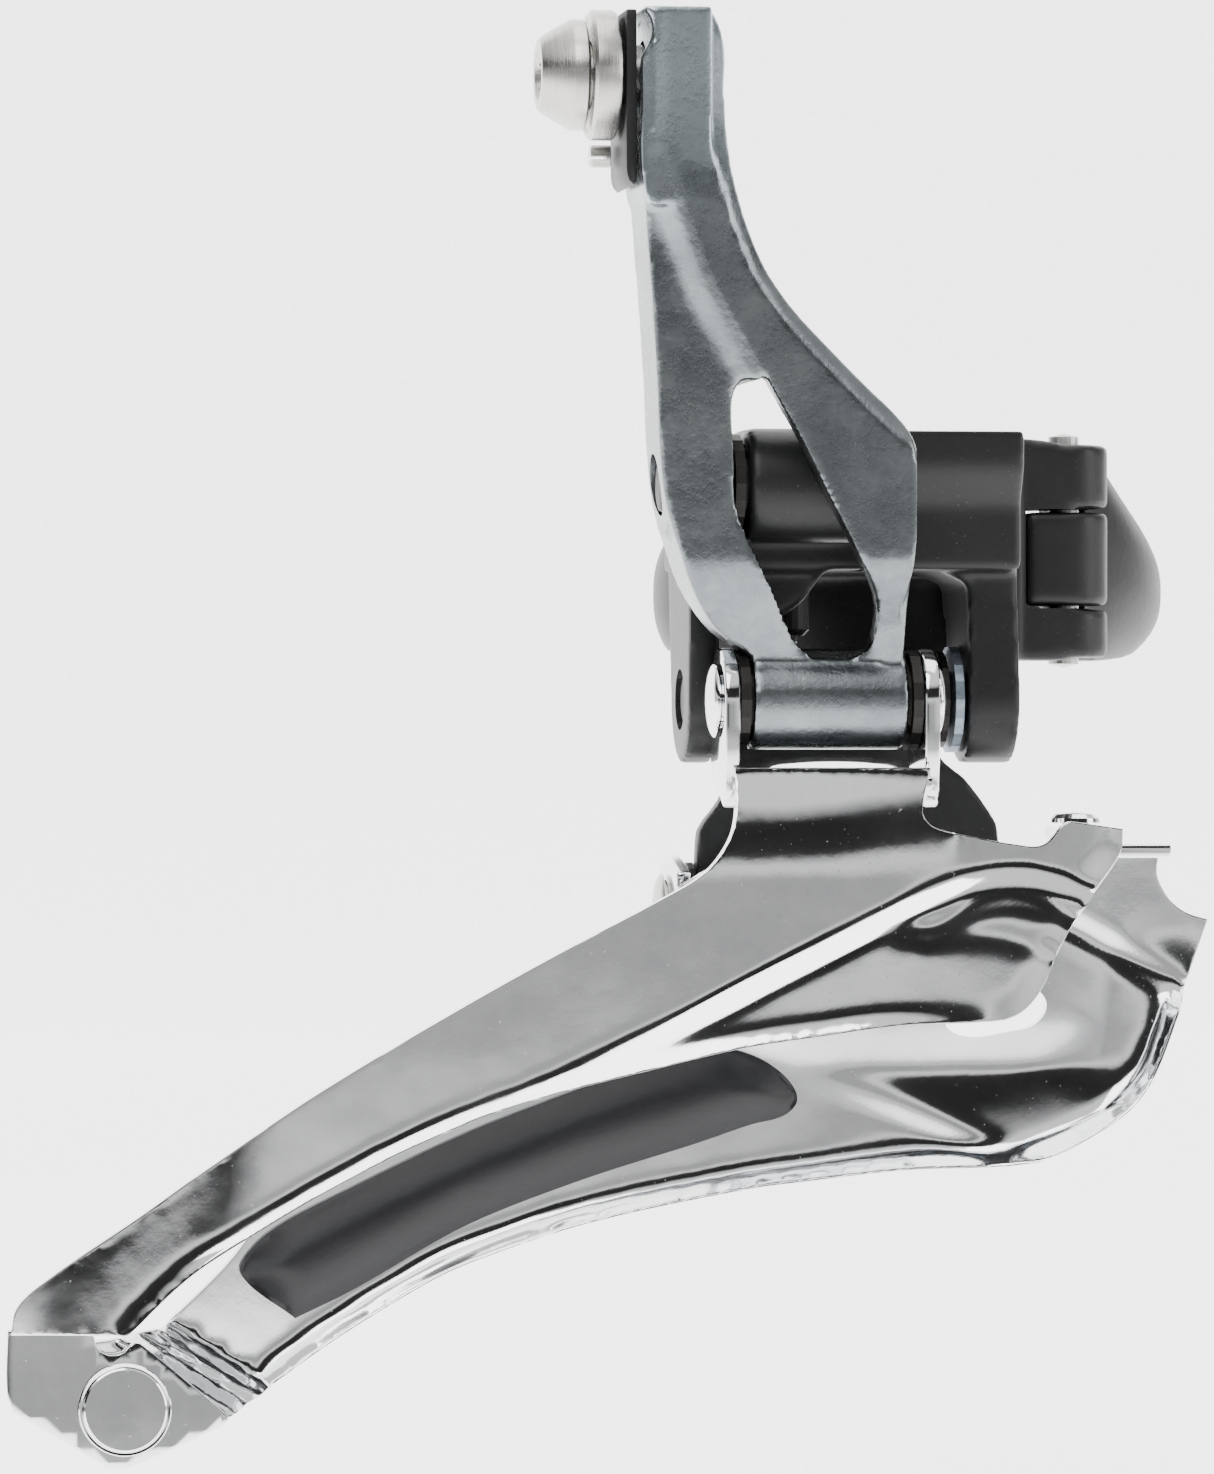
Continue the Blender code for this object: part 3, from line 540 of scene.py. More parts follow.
def sidePiece(outline, x0, x1, gap=1.0):
    # the same, drawn in the Y-Z plane
    quiet()
    loop = smoothLoop(outline, gap)
    bpy.ops.mesh.primitive_circle_add(vertices=len(loop), radius=0.01, fill_type="NGON")
    piece = named("side")
    for vert, point in zip(piece.data.vertices, loop):
        vert.co = (x0 * mm, point.x * mm, point.y * mm)
    bpy.ops.object.mode_set(mode="EDIT")
    bpy.ops.mesh.select_all(action="SELECT")
    bpy.ops.mesh.extrude_region_move(
        TRANSFORM_OT_translate={"value": ((x1 - x0) * mm, 0, 0)})
    bpy.ops.mesh.select_all(action="SELECT")
    bpy.ops.mesh.normals_make_consistent(inside=False)
    bpy.ops.object.mode_set(mode="OBJECT")
    return piece


def remesh(piece, voxel, rounds):
    step = piece.modifiers.new("fuse", "REMESH")
    step.mode = "VOXEL"
    step.voxel_size = voxel * mm
    step.use_smooth_shade = True
    soft = piece.modifiers.new("soft", "SMOOTH")
    soft.iterations = rounds
    return applyAll(piece)


def polar(radius, angle):
    return radius * math.cos(math.radians(angle)), radius * math.sin(math.radians(angle))


def arc(cx, cz, radius, start, end, count):
    return [(cx + radius * math.cos(math.radians(start + (end - start) * i / count)),
             cz + radius * math.sin(math.radians(start + (end - start) * i / count)))
            for i in range(count + 1)]


def distanceTo(path):
    pairs = [(Vector(a[:2]), Vector(b[:2])) for a, b in zip(path, path[1:])]

    def measure(x, z):
        best = 1e9
        spot = Vector((x, z))
        for a, b in pairs:
            run = b - a
            t = min(1.0, max(0.0, (spot - a).dot(run) / run.length_squared))
            best = min(best, (spot - a - run * t).length)
        return best
    return measure


def lathe(name, profile, place, direction, sides=64):
    # rings pulled up from one circle: each step is an extrude and a resize
    quiet()
    bpy.ops.mesh.primitive_circle_add(vertices=sides, radius=profile[0][0] * mm)
    piece = named(name)
    bpy.ops.object.mode_set(mode="EDIT")
    bpy.ops.mesh.select_all(action="SELECT")
    bpy.ops.transform.translate(value=(0, 0, profile[0][1] * mm))
    for (r0, h0), (r1, h1) in zip(profile, profile[1:]):
        bpy.ops.mesh.extrude_edges_move(
            TRANSFORM_OT_translate={"value": (0, 0, (h1 - h0) * mm)})
        bpy.ops.transform.resize(value=(r1 / r0, r1 / r0, 1))
    bpy.ops.object.mode_set(mode="OBJECT")
    return closeLathe(piece, profile, place, direction)


def closeLathe(piece, profile, place, direction):
    ring = abs(profile[0][0] - profile[-1][0]) < 1e-6 and abs(
        profile[0][1] - profile[-1][1]) < 1e-6
    bpy.ops.object.mode_set(mode="EDIT")
    bpy.ops.mesh.select_all(action="SELECT")
    if ring:
        bpy.ops.mesh.remove_doubles(threshold=1e-6)
    else:
        bpy.ops.mesh.select_mode(type="EDGE")
        bpy.ops.mesh.select_all(action="DESELECT")
        bpy.ops.mesh.select_non_manifold()
        bpy.ops.mesh.fill_holes(sides=0)
        bpy.ops.mesh.select_mode(type="VERT")
    bpy.ops.mesh.select_all(action="SELECT")
    bpy.ops.mesh.normals_make_consistent(inside=False)
    bpy.ops.object.mode_set(mode="OBJECT")
    turn = Vector(direction).to_track_quat("Z", "Y").to_matrix().to_4x4()
    piece.data.transform(Matrix.Translation(Vector(place) * mm) @ turn)
    return piece


def done(piece, name, body, finish, slot, *nodes, angle=32):
    pick(piece)
    piece.name = name
    piece.data.name = name
    piece.data.materials.clear()
    piece.data.materials.append(finishes[finish])
    bpy.ops.object.shade_smooth_by_angle(angle=math.radians(angle))
    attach(piece, body)
    if nodes:
        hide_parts(*nodes)
    print("made", name, len(piece.data.polygons), "faces")
    return piece


# outer cage plate
outer = {"face": -47.3, "sheet": 1.2, "neckIn": 1.0, "neckLow": -27.6, "neckTall": 9.3,
         "panelOut": 0.9, "panelTurn": 0.088, "curl": 0.30, "crease": 0.10, "lip": 0.5,
         "lipWidth": 1.15, "frontTurn": 0.22, "frontWidth": 2.2, "tailIn": 3.3,
         "tailFace": -44.2, "tailLean": 0.055, "tailBack": -42.8, "tailMiddle": -67.0,
         "ears": ((-22.6, -21.4), (-6.7, -5.5)), "earRadius": 4.1, "grid": 0.62, "tilt": 29.0}
outerTop = [
    (-78.4, -61.6, 1), (-77.9, -59.4), (-75.3, -57.1), (-68.8, -52.6),
    (-64.0, -49.1), (-55.2, -43.1), (-43.3, -36.1), (-34.3, -31.2),
    (-28.3, -28.1), (-24.5, -25.8), (-22.6, -23.3), (-22.0, -21.0),
    (-21.9, -17.7, 1)]
outerFront = [
    (-6.4, -17.7, 1), (-7.2, -20.6), (-7.1, -21.7), (-6.0, -22.5),
    (1.4, -23.9), (2.6, -23.6), (3.7, -22.3), (4.4, -21.9, 1), (8.7, -22.5, 1),
    (8.5, -24.4), (6.7, -27.1), (4.4, -30.1), (3.2, -32.2), (2.3, -34.2),
    (1.0, -36.2), (-0.6, -37.3), (-3.1, -37.6), (-9.3, -37.8)]
outerLow = [
    (-15.5, -38.6), (-22.3, -39.6), (-28.3, -41.0), (-37.3, -43.3),
    (-43.3, -45.3), (-52.2, -49.4), (-60.9, -54.4), (-65.0, -57.2),
    (-69.5, -61.6, 1)]
toOuterLow = distanceTo(smoothPath(outerFront[-2:] + outerLow, 1.5))
toOuterFront = distanceTo(smoothPath(outerFront[8:17], 1.0))
ribCrest = smoothPath([(-46.0, -45.0), (-36.0, -41.0), (-28.0, -37.8), (-20.0, -33.8),
                       (-12.0, -29.8), (-6.0, -27.0), (-2.0, -25.9), (1.5, -25.9),
                       (4.5, -26.7), (9.0, -28.4)], 0.8)
ribCurl = smoothPath([(-9.5, -30.3), (-6.5, -29.9), (-2.6, -27.9), (0.0, -27.6),
                      (2.6, -28.3), (6.5, -30.2)], 0.6)
shortCrease = smoothPath([(-7.0, -30.9), (-3.0, -30.7), (0.5, -31.4), (3.2, -32.6)], 0.6)
toCrest, toCurl, toCrease = map(distanceTo, (ribCrest, ribCurl, shortCrease))


def heightOn(path, x):
    for a, b in zip(path, path[1:]):
        if x <= b[0] or b is path[-1]:
            return a[1] + (b[1] - a[1]) * (x - a[0]) / (b[0] - a[0])


def outerFace(x, z):
    y = outer["face"]
    climb = min(1.0, max(0.0, (z - outer["neckLow"]) / outer["neckTall"]))
    climb *= 1 - smooth(x, -5.5, -3.0)
    neck = 1.5 * climb ** 2 + 0.5 * climb ** 6
    y += outer["neckIn"] * neck * (1 - 0.3 * smooth(x, -19, -6))
    below = toCrest(x, z) * (1 if z < heightOn(ribCrest, x) else -1)
    rise = smooth(x, -42, -22)
    panel = outer["panelOut"] * smooth(below, -0.2, 1.3)
    y -= rise * (panel + outer["panelTurn"] * max(0.0, below))
    y += outer["curl"] * math.exp(-(toCurl(x, z) / 0.7) ** 2) * smooth(x, -12, -7)
    y += outer["crease"] * math.exp(-(toCrease(x, z) / 0.7) ** 2)
    low = toOuterLow(x, z)
    y -= outer["lip"] * (1 - smooth(low, 0.0, outer["lipWidth"])) * smooth(-x, 0, 14)
    turn = 1 - smooth(toOuterFront(x, z), 0.0, outer["frontWidth"])
    y += outer["frontTurn"] * turn * smooth(x, -4, 2)
    y += outer["tailIn"] * smooth(-x + (z + 58) * 0.25, 61, 77.5)
    return y


def makeOuterPlate():
    loop = smoothLoop(outerTop + outerFront + outerLow, 0.6)
    blade = sheetFrom("blade", loop, (0.25,), outer["grid"], outer["tilt"])
    thicken(blade, outerFace, lambda x, z: outerFace(x, z) + outer["sheet"])
    soften(blade, 0.22, 2, 50)
    roundOut(blade)
    tail = prism(
        [(-78.6, -61.2, 1), (-78.7, -66.0), (-78.2, -67.5, 1), (-71.2, -71.7),
         (-70.4, -72.0), (-69.4, -71.9), (-62.0, -68.8), (-61.5, -68.3),
         (-62.0, -67.6), (-68.0, -62.6), (-68.8, -62.2), (-69.6, -63.0), (-70.8, -63.2),
         (-71.7, -62.6), (-72.0, -61.2, 1)],
        lambda x, z: outer["tailFace"] + outer["tailLean"] * (z - outer["tailMiddle"]),
        outer["tailBack"], 0.5, 1.2)
    soften(tail, 0.25, 3, 40)
    ears = []
    for x0, x1 in outer["ears"]:
        loop = arc(pivotC.y, pivotC.z, outer["earRadius"], 0, 180, 16)
        loop += [(-45.0, -16.6), (-44.6, -18.4), (-44.4, -20.0), (-43.6, -20.9, 1),
                 (-41.4, -19.9), (-38.4, -18.6), (-36.9, -16.4)]
        ear = sidePiece(loop, x0, x1, 0.6)
        soften(ear, 0.25, 3, 40)
        ears.append(ear)
    shelf = block((-22.0, -45.4, -19.5), (-6.1, -37.4, -18.4), 0.3)
    strap = block((4.35, -47.0, -23.5), (8.5, -37.0, -22.5), 0.25)
    unite(shelf, *ears)
    unite(blade, joined("additions", [shelf, tail, strap]))
    cut(blade, joined("holes", [
        bore(pivotC, 10), tailHole(-40), bridgeHole()]))
    return done(blade, "outerPlate", "cage", "chrome", "chrome", "outer_plate", angle=28)


# inner cage plate
inner = {"face": -37.2, "sheet": 1.2, "lip": 1.2, "lipWidth": 1.6, "bowl": 1.0,
         "dish": 0.13, "groove": 0.40, "crease": 0.10, "firstFold": 2.3, "secondFold": 2.9,
         "ears": ((-25.2, -24.0), (2.5, 3.7)), "earRadius": 4.4, "grid": 0.68, "tilt": 24.0}
innerTop = [
    (-61.0, -56.6), (-56.6, -51.0), (-51.1, -47.4), (-42.1, -42.2),
    (-34.4, -38.2), (-28.3, -35.0), (-25.2, -32.0), (-25.2, -27.2, 1),
    (-22.6, -25.6, 1), (3.7, -25.6), (5.2, -24.6), (13.9, -24.6, 1)]
innerFront = [
    (13.7, -26.2), (14.6, -28.1), (16.0, -29.3), (17.9, -29.9, 1),
    (15.2, -37.0), (13.1, -42.3), (11.0, -45.1), (7.5, -47.3),
    (3.3, -49.1), (-0.4, -49.5), (-7.0, -49.7)]
innerLow = [
    (-15.4, -50.6), (-20.1, -51.2), (-32.8, -53.8), (-42.0, -56.8),
    (-45.8, -58.6), (-52.6, -62.7), (-58.6, -66.9, 1)]
innerTail = [(-62.4, -68.8), (-69.4, -71.1), (-76.9, -66.8, 1), (-76.9, -62.9, 1),
             (-66.0, -61.5, 1)]
toInnerLow = distanceTo(smoothPath(innerFront[4:] + innerLow, 1.5))
toGroove = distanceTo([(4.8, -29.6), (10.5, -32.6), (15.6, -35.3)])


def innerFace(x, z):
    y = inner["face"] + 0.7 * smooth(x, 3, 17)
    low = toInnerLow(x, z)
    shown = smooth(x, -60, -57)
    y -= inner["lip"] * (1 - smooth(low, 0.0, inner["lipWidth"])) * shown
    y -= inner["bowl"] * max(0.0, 1 - low / 7.4) ** 1.6 * smooth(x, -20, 4)
    middle = smooth(x + 15.4 + (z + 41.9) * 2.2, -2, 5) * (1 - smooth(x, 5, 13))
    y -= middle * (inner["dish"] * max(0.0, -41.7 - z) + 0.07 * min(4.0, max(0.0, z + 41.7)))
    y += inner["groove"] * math.exp(-(toGroove(x, z) / 0.5) ** 2)
    crease = math.exp(-((x - 9.4 - (z + 38) * 0.05) / 0.6) ** 2)
    y += inner["crease"] * crease * smooth(-z, 31, 34)
    fold = -(x * 0.545 + z * 0.84)
    y -= inner["firstFold"] * smooth(fold, 87.0, 88.5)
    y -= inner["secondFold"] * smooth(fold, 88.9, 90.5)
    return y


def makeInnerPlate():
    loop = smoothLoop(innerTop + innerFront + innerLow + innerTail, 0.6)
    blade = sheetFrom("blade", loop, (0.25,), inner["grid"], inner["tilt"],
                      [(57.0, -91.0, -86.6, 0.5)])
    thicken(blade, innerFace, lambda x, z: innerFace(x, z) + inner["sheet"])
    soften(blade, 0.22, 2, 50)
    roundOut(blade)
    pieces = []
    for x0, x1 in inner["ears"]:
        loop = arc(pivotD.y, pivotD.z, inner["earRadius"], -90, 90, 16)
        loop += [(-36.6, -26.0, 1), (-36.6, -34.6, 1)]
        ear = sidePiece(loop, x0, x1, 0.7)
        soften(ear, 0.25, 3, 40)
        pieces.append(ear)
    flange = block((4.3, -41.5, -24.9), (13.8, -36.6, -23.8), 0.25)
    window = prism([(-3.4, -38.6), (2.6, -38.6), (4.2, -37.6), (4.4, -36.2),
                    (2.8, -35.0), (-2.0, -35.0)], -45, -30, 0.4)
    unite(blade, joined("additions", [*pieces, flange]))
    cut(blade, joined("holes", [
        window, bore(pivotD, 10), tailHole(-36), bridgeHole()]))
    return done(blade, "innerPlate", "cage", "chrome", "chrome", "inner_plate", angle=28)


# black guide insert on the inner plate
insert = {"face": -37.4, "back": -37.25, "crown": 2.1, "shoulder": 2.6, "dent": 0.22,
          "grid": 0.8, "tilt": 26.0}
insertOutline = [
    (-60.0, -57.5), (-59.3, -55.6), (-56.9, -53.6), (-51.4, -50.8),
    (-42.4, -46.6), (-34.6, -43.6), (-28.3, -41.4), (-22.8, -40.0),
    (-21.0, -40.0), (-17.8, -41.3), (-15.7, -43.7), (-16.5, -45.2),
    (-19.6, -46.1), (-23.8, -47.5), (-32.9, -50.3), (-42.1, -53.8),
    (-51.1, -58.8), (-55.7, -61.0, 1)]


def makeInsert():
    toEdge = distanceTo(insertOutline + insertOutline[:1])
    toLow = distanceTo(smoothPath(insertOutline[12:], 1.0))

    def crown(x, z):
        y = insert["face"] - insert["crown"] * smooth(toEdge(x, z), -0.9, insert["shoulder"])
        return y + insert["dent"] * math.exp(-((toLow(x, z) - 1.1) / 0.5) ** 2)
    loop = smoothLoop(insertOutline, 0.5)
    piece = sheetFrom("insert", loop, (0.3,), insert["grid"], insert["tilt"])
    thicken(piece, crown, insert["back"])
    soften(piece, 0.15, 2, 45)
    roundOut(piece)
    return done(piece, "guideInsert", "cage", "resin", "resin", "guide_insert", angle=40)


# cable arm, forged: a recessed leg and a proud strap round one window
arm = {"strap": -49.05, "strapThick": 2.3, "leg": -46.0, "legBack": -38.4,
       "legTurn": 0.23, "ridge": -48.9, "foot": -43.6, "footBack": -39.6, "chamfer": 1.25,
       "headTurn": 0.19, "grid": 0.8, "voxel": 0.28, "soft": 5}
armLeft = [
    (-28.8, 41.5, 1), (-28.9, 30.2), (-29.2, 26.9), (-28.6, 18.6),
    (-28.2, 12.4), (-28.0, 7.7), (-27.5, 3.1), (-26.4, -0.8), (-25.2, -4.0),
    (-23.2, -7.0), (-21.6, -8.1), (-20.2, -9.2), (-20.0, -12.4, 1)]
armRight = [
    (-8.5, -12.4, 1), (-8.9, -7.6), (-8.7, -4.6), (-8.2, -1.5), (-8.1, 1.6),
    (-8.1, 6.3), (-8.5, 8.4), (-9.6, 9.9), (-11.9, 12.1), (-15.0, 15.2),
    (-17.9, 18.3), (-20.0, 21.4), (-21.6, 25.3), (-22.5, 29.1),
    (-22.9, 34.2), (-23.2, 39.9), (-24.1, 41.5, 1)]
armWindow = [
    (-16.8, -8.0), (-17.8, -6.4), (-19.6, -3.1), (-21.2, 0.0), (-22.2, 3.1),
    (-22.4, 7.8), (-22.4, 11.4), (-21.6, 12.6), (-20.5, 12.4), (-19.2, 11.3),
    (-17.2, 7.8), (-14.9, 3.2), (-12.5, -1.5), (-10.9, -4.6),
    (-10.7, -7.4), (-11.2, -8.5), (-12.4, -9.0), (-15.4, -9.0)]
armRidge = [(-29.0, 32.0), (-28.2, 30.2), (-26.6, 26.8), (-23.8, 19.7),
            (-20.6, 14.2), (-19.2, 11.3)]
toRidge = distanceTo(armRidge)
toRight = distanceTo(armRight[1:])


def armBend(y, z, behind=0.0):
    return y + (arm["foot"] + behind - y) * smooth(-z, 1.0, 9.6)


def legFront(x, z):
    base = arm["leg"] - 0.04 * min(27.0, max(0.0, z)) - arm["legTurn"] * (x + 28.5)
    rise = (base - arm["ridge"]) * (1 - smooth(toRidge(x, z), 0.3, 2.6)) * smooth(z, 7, 13)
    return armBend(base - rise, z)


def strapFront(x, z):
    worn = max(0.0, arm["chamfer"] - toRight(x, z)) * 0.85 * smooth(z, 7.0, 10.0)
    leaned = arm["headTurn"] * max(0.0, x + 29.0) * smooth(z, 26, 33)
    return armBend(arm["strap"] + worn + leaned, z)


def makeArm():
    step = arm["grid"]
    leg = prism(
        armLeft + [(-16.0, -12.4, 1), (-15.4, -9.0, 1)] + armWindow[:9]
        + [(x + 0.6, z, 1) for x, z in armRidge[4:0:-1]] + [(-28.0, 41.5, 1)],
        legFront, lambda x, z: armBend(arm["legBack"], z, 3.0), 0.8, step)
    strap = prism(
        [(-28.8, 41.5, 1), (-29.0, 32.0, 1)] + armRidge[1:4]
        + armWindow[9:] + [(-16.4, -9.2, 1), (-18.6, -12.4, 1)] + armRight,
        strapFront, lambda x, z: armBend(arm["strap"] + arm["strapThick"], z, 2.6), 0.8, step)
    rail = prism(
        armRight[5:-1] + [(-25.4, 40.6, 1), (-25.4, 34.0), (-24.9, 28.4), (-23.6, 24.2),
                          (-21.7, 20.0), (-19.4, 16.8), (-16.2, 13.8), (-13.0, 10.8),
                          (-9.9, 7.6, 1)],
        lambda x, z: strapFront(x, z) + 0.6, -43.6, 0.8, step)
    flange = sidePiece(
        [(-48.4, 7.6, 1), (-48.3, 1.0), (-47.4, -2.4), (-45.4, -5.6), (-43.8, -9.6, 1),
         (-41.0, -9.2, 1)]
        + arc(pivotA.y, pivotA.z, 4.9, -70, 80, 9), -9.9, -8.2)
    head = prism(
        [(-29.7, 41.5, 1), (-28.9, 40.2), (-29.0, 38.9), (-29.7, 37.4), (-29.7, 34.2),
         (-29.7, 28.6), (-28.6, 26.0), (-24.2, 28.0, 1), (-24.2, 41.5, 1)],
        arm["strap"] + 0.25, -38.2, 0.6)
    lug = rodX(pivotA, -27.2, -22.2, 4.2)
    barrel = rodX(pivotC, -20.2, -7.9, 3.9)
    foot = prism([(-20.2, -13.4, 1), (-20.2, -9.4, 1), (-8.6, -9.4, 1), (-8.6, -13.4, 1)],
                 arm["foot"], arm["footBack"], 2.0)
    piece = joined("cableArm", [leg, strap, rail, flange, head, lug, barrel, foot])
    remesh(piece, arm["voxel"], arm["soft"])
    cut(piece, bore(pivotA, 5), bore(pivotC, 5),
        rodX(anchor, -40, -25.5, 2.75, 48), rodX(anchor, -31, -29.0, 4.3, 48),
        rodX(pivotA, -22.1, -10.0, 5.0, 64),
        bushSeat(pivotC, -23.1, -17.3), bushSeat(pivotC, -10.8, -5.0))
    return done(piece, "cableArm", "arm", "forged", "gunmetal", "cable_arm", angle=40)


def makeCableHardware():
    washer = lathe("cableWasher", [
        (5.1, 0.35), (5.1, 1.95), (4.85, 2.2), (4.55, 2.2), (4.45, 2.05), (2.75, 2.05),
        (2.75, 0.0), (4.7, 0.0), (4.95, 0.1), (5.1, 0.35)], (-31.1, anchor.y, anchor.z),
        (-1, 0, 0), 96)
    done(washer, "cableWasher", "arm", "anchor", "bare_steel", "cable_washer")
    bolt = lathe("fixingBolt", [
        (2.0, -7.6), (2.4, -7.2), (2.45, -0.05), (4.1, -0.05), (4.35, 0.15), (4.35, 1.05),
        (4.28, 1.2), (3.02, 3.35), (2.75, 3.6), (1.95, 3.6)],
        (-33.6, anchor.y, anchor.z), (-1, 0, 0), 96)
    socket = rodX(anchor, -40, -34.9, 1.95, 6)
    lead = lathe("lead", [(0.3, 2.9), (1.72, 2.9), (2.2, 3.75), (0.3, 3.75)],
                 (-33.6, anchor.y, anchor.z), (-1, 0, 0), 48)
    cut(bolt, socket, lead)
    done(bolt, "fixingBolt", "cable_bolt", "anchor", "bare_steel", "cable_fixing_bolt")
    plate = prism(
        [(-30.8, 41.3, 1), (-30.8, 28.9), (-30.6, 28.0), (-30.2, 27.6), (-30.0, 27.9),
         (-30.0, 41.3, 1)], -47.6, -38.6, 0.6)
    soften(plate, 0.12, 2)
    cut(plate, rodX(anchor, -40, -20, 2.75, 48))
    done(plate, "converterPlate", "arm", "link", "bare_steel", "converter_plate")
    place = (-31.1, anchor.y + 3.0, 30.4)
    stud = lathe("converterPin", [(0.86, 0.0), (0.9, 0.05), (0.9, 1.45), (0.75, 1.6)],
                place, (-1, 0, 0), 48)
    cut(stud, block((-33.2, place[1] - 2, 30.12), (-31.5, place[1] + 2, 30.36)))
    done(stud, "converterPin", "arm", "pinA", "bare_steel", "converter_pin")


# seat-tube clamp: a fixed body and a hinged band, both painted
ring = {"tube": 17.45, "outer": 21.5, "top": 9.0, "farTop": 1.6, "base": -9.0,
        "hinge": 3.6, "slot": 5.3, "earAngle": 100.0, "earRadius": 27.2, "earZ": -3.4,
        "hingePin": 1.55, "voxel": 0.36, "soft": 7}


def ringPatch(start, end, bulge):
    quiet()
    bpy.ops.mesh.primitive_grid_add(x_subdivisions=110, y_subdivisions=16, size=2 * mm)
    piece = named("ringPatch")
    for vert in piece.data.vertices:
        along, up = (vert.co.x / mm + 1) / 2, (vert.co.y / mm + 1) / 2
        angle = start + (end - start) * along
        away = abs((angle + 90 + 180) % 360 - 180)
        top = ring["top"] + (ring["farTop"] - ring["top"]) * smooth(away, 24, 88)
        low = ring["base"] + 0.9 * smooth(away, 40, 100)
        side = abs(2 * up - 1) ** 2.6
        radius = ring["outer"] - bulge(away) * side
        x, y = polar(radius, angle)
        vert.co = (x * mm, y * mm, (low + (top - low) * up) * mm)
    inner = (ring["tube"] - 0.4) / ring["outer"]
    bpy.ops.object.mode_set(mode="EDIT")
    bpy.ops.mesh.select_all(action="SELECT")
    bpy.ops.mesh.extrude_region_move(TRANSFORM_OT_translate={"value": (0, 0, 0)})
    bpy.ops.transform.resize(value=(inner, inner, 1), center_override=(0, 0, 0))
    bpy.ops.mesh.select_all(action="SELECT")
    bpy.ops.mesh.normals_make_consistent(inside=False)
    bpy.ops.object.mode_set(mode="OBJECT")
    return piece


def turned(piece, angle):
    piece.data.transform(Matrix.Rotation(math.radians(angle), 4, "Z"))
    return piece


def clampEar(low, high):
    x, y = polar(ring["earRadius"], 0)
    ear = rod((x, low, ring["earZ"]), (x, high, ring["earZ"]), 4.9)
    root = block((ring["outer"] - 3.2, low, ring["earZ"] - 4.4),
                 (x, high, ring["earZ"] + 4.4))
    return [turned(ear, ring["earAngle"]), turned(root, ring["earAngle"])]


def boltLine(start, end, radius):
    x = ring["earRadius"]
    line = rod((x, start, ring["earZ"]), (x, end, ring["earZ"]), radius, 48)
    return turned(line, ring["earAngle"])


def upright(low, high, radius):
    return rod((hinge.x, hinge.y, low), (hinge.x, hinge.y, high), radius, 64)


def knuckle(low, high, side):
    angle = math.degrees(math.atan2(hinge.y, hinge.x))
    out = math.hypot(hinge.x, hinge.y)
    root = block((ring["outer"] - 3.5, min(0, side), low), (out + 0.4, max(0, side), high))
    return [upright(low, high, ring["hinge"]), turned(root, angle)]


def makeClampBody():
    shelf = block((-20.4, -38.0, -2.0), (2.4, -17.0, 9.0))
    top = prism([(-20.4, 2.0, 1), (-20.4, 9.0, 1), (2.4, 9.0, 1), (2.4, 2.0, 1)],
                lambda x, z: -39.6 + 1.6 * smooth(6.6 - z, 0, 4.0), -30.0, 1.0, 0.7)
    nose = prism(
        [(2.0, -2.4, 1), (1.6, -6.0), (2.4, -9.0, 1), (8.8, -9.0), (10.0, -8.4), (10.6, -7.0),
         (10.6, 5.8), (10.0, 7.4), (8.4, 8.6), (6.0, 9.0), (2.0, 9.0, 1)],
        lambda x, z: -35.4 + 10.6 * smooth(x, 1.6, 4.8) ** 0.8 + 3.0 * smooth(x, 8.6, 11.0),
        lambda x, z: -17.0 - max(0, x - 4.0) * 0.75, 1.0, 0.7)
    wedge = prism([(-20.4, -1.0, 1), (-20.4, -7.6, 1), (-17.2, -6.0), (-15.0, -4.4),
                   (-13.6, -2.4), (-12.4, -1.5, 1)], -37.4, -17.6)
    fillet = prism([(-6.0, -1.0, 1), (-3.8, -2.1), (-1.6, -3.0, 1), (-1.4, -6.0, 1),
                    (2.5, -6.0, 1), (2.4, 2.0, 1), (-6.0, 2.0, 1)], -35.6, -24.0, 0.8)
    barrel = rodX(pivotA, -20.8, -11.4, 4.5)
    web = block((-20.8, -42.0, 0.4), (-11.4, -36.0, 8.8))
    cheeks = []
    for index, (x0, x1) in enumerate(((-24.2, -21.7), (-1.5, 2.6))):
        loop = [(-37.0 + index * 2.4, 3.0, 1)] + arc(pivotB.y, pivotB.z, 5.1, 180, 360, 14)
        cheeks.append(sidePiece(loop + [(-24.0, 3.0, 1)], x0, x1))
    back = block((-24.2, -36.0, -2.0), (-19.8, -22.5, 7.6))
    piece = joined("clampBody", [
        ringPatch(-71, ring["earAngle"] + 4.0 - 360, lambda away: 1.3 * smooth(away, 60, 100)),
        shelf, top, nose, wedge, fillet, barrel, web, *cheeks, back,
        *knuckle(3.4, 8.6, -4.0), *knuckle(-8.8, -4.9, -4.0), *clampEar(1.6, 4.8)])
    remesh(piece, ring["voxel"], ring["soft"])
    cut(piece, rod((0, 0, -20), (0, 0, 20), ring["tube"], 128),
        upright(-15, 15, ring["hingePin"]), upright(-4.8, 3.3, ring["slot"]), boltLine(-2, 9, 3.7),
        bore(pivotA, 10), bushSeat(pivotA, -24.0, -17.6), bushSeat(pivotA, -14.6, -8.2),
        bore(pivotB, 10),
        block((-10.6, -55, -15), (-7.2, -31.5, 15)))
    for y in (-32.2, -26.5):
        cut(piece, rod((-15.2, y, -15), (-15.2, y, 15), 1.65, 40))
    return done(piece, "clampBody", "base", "black", "black_paint", "clamp_body", angle=40)


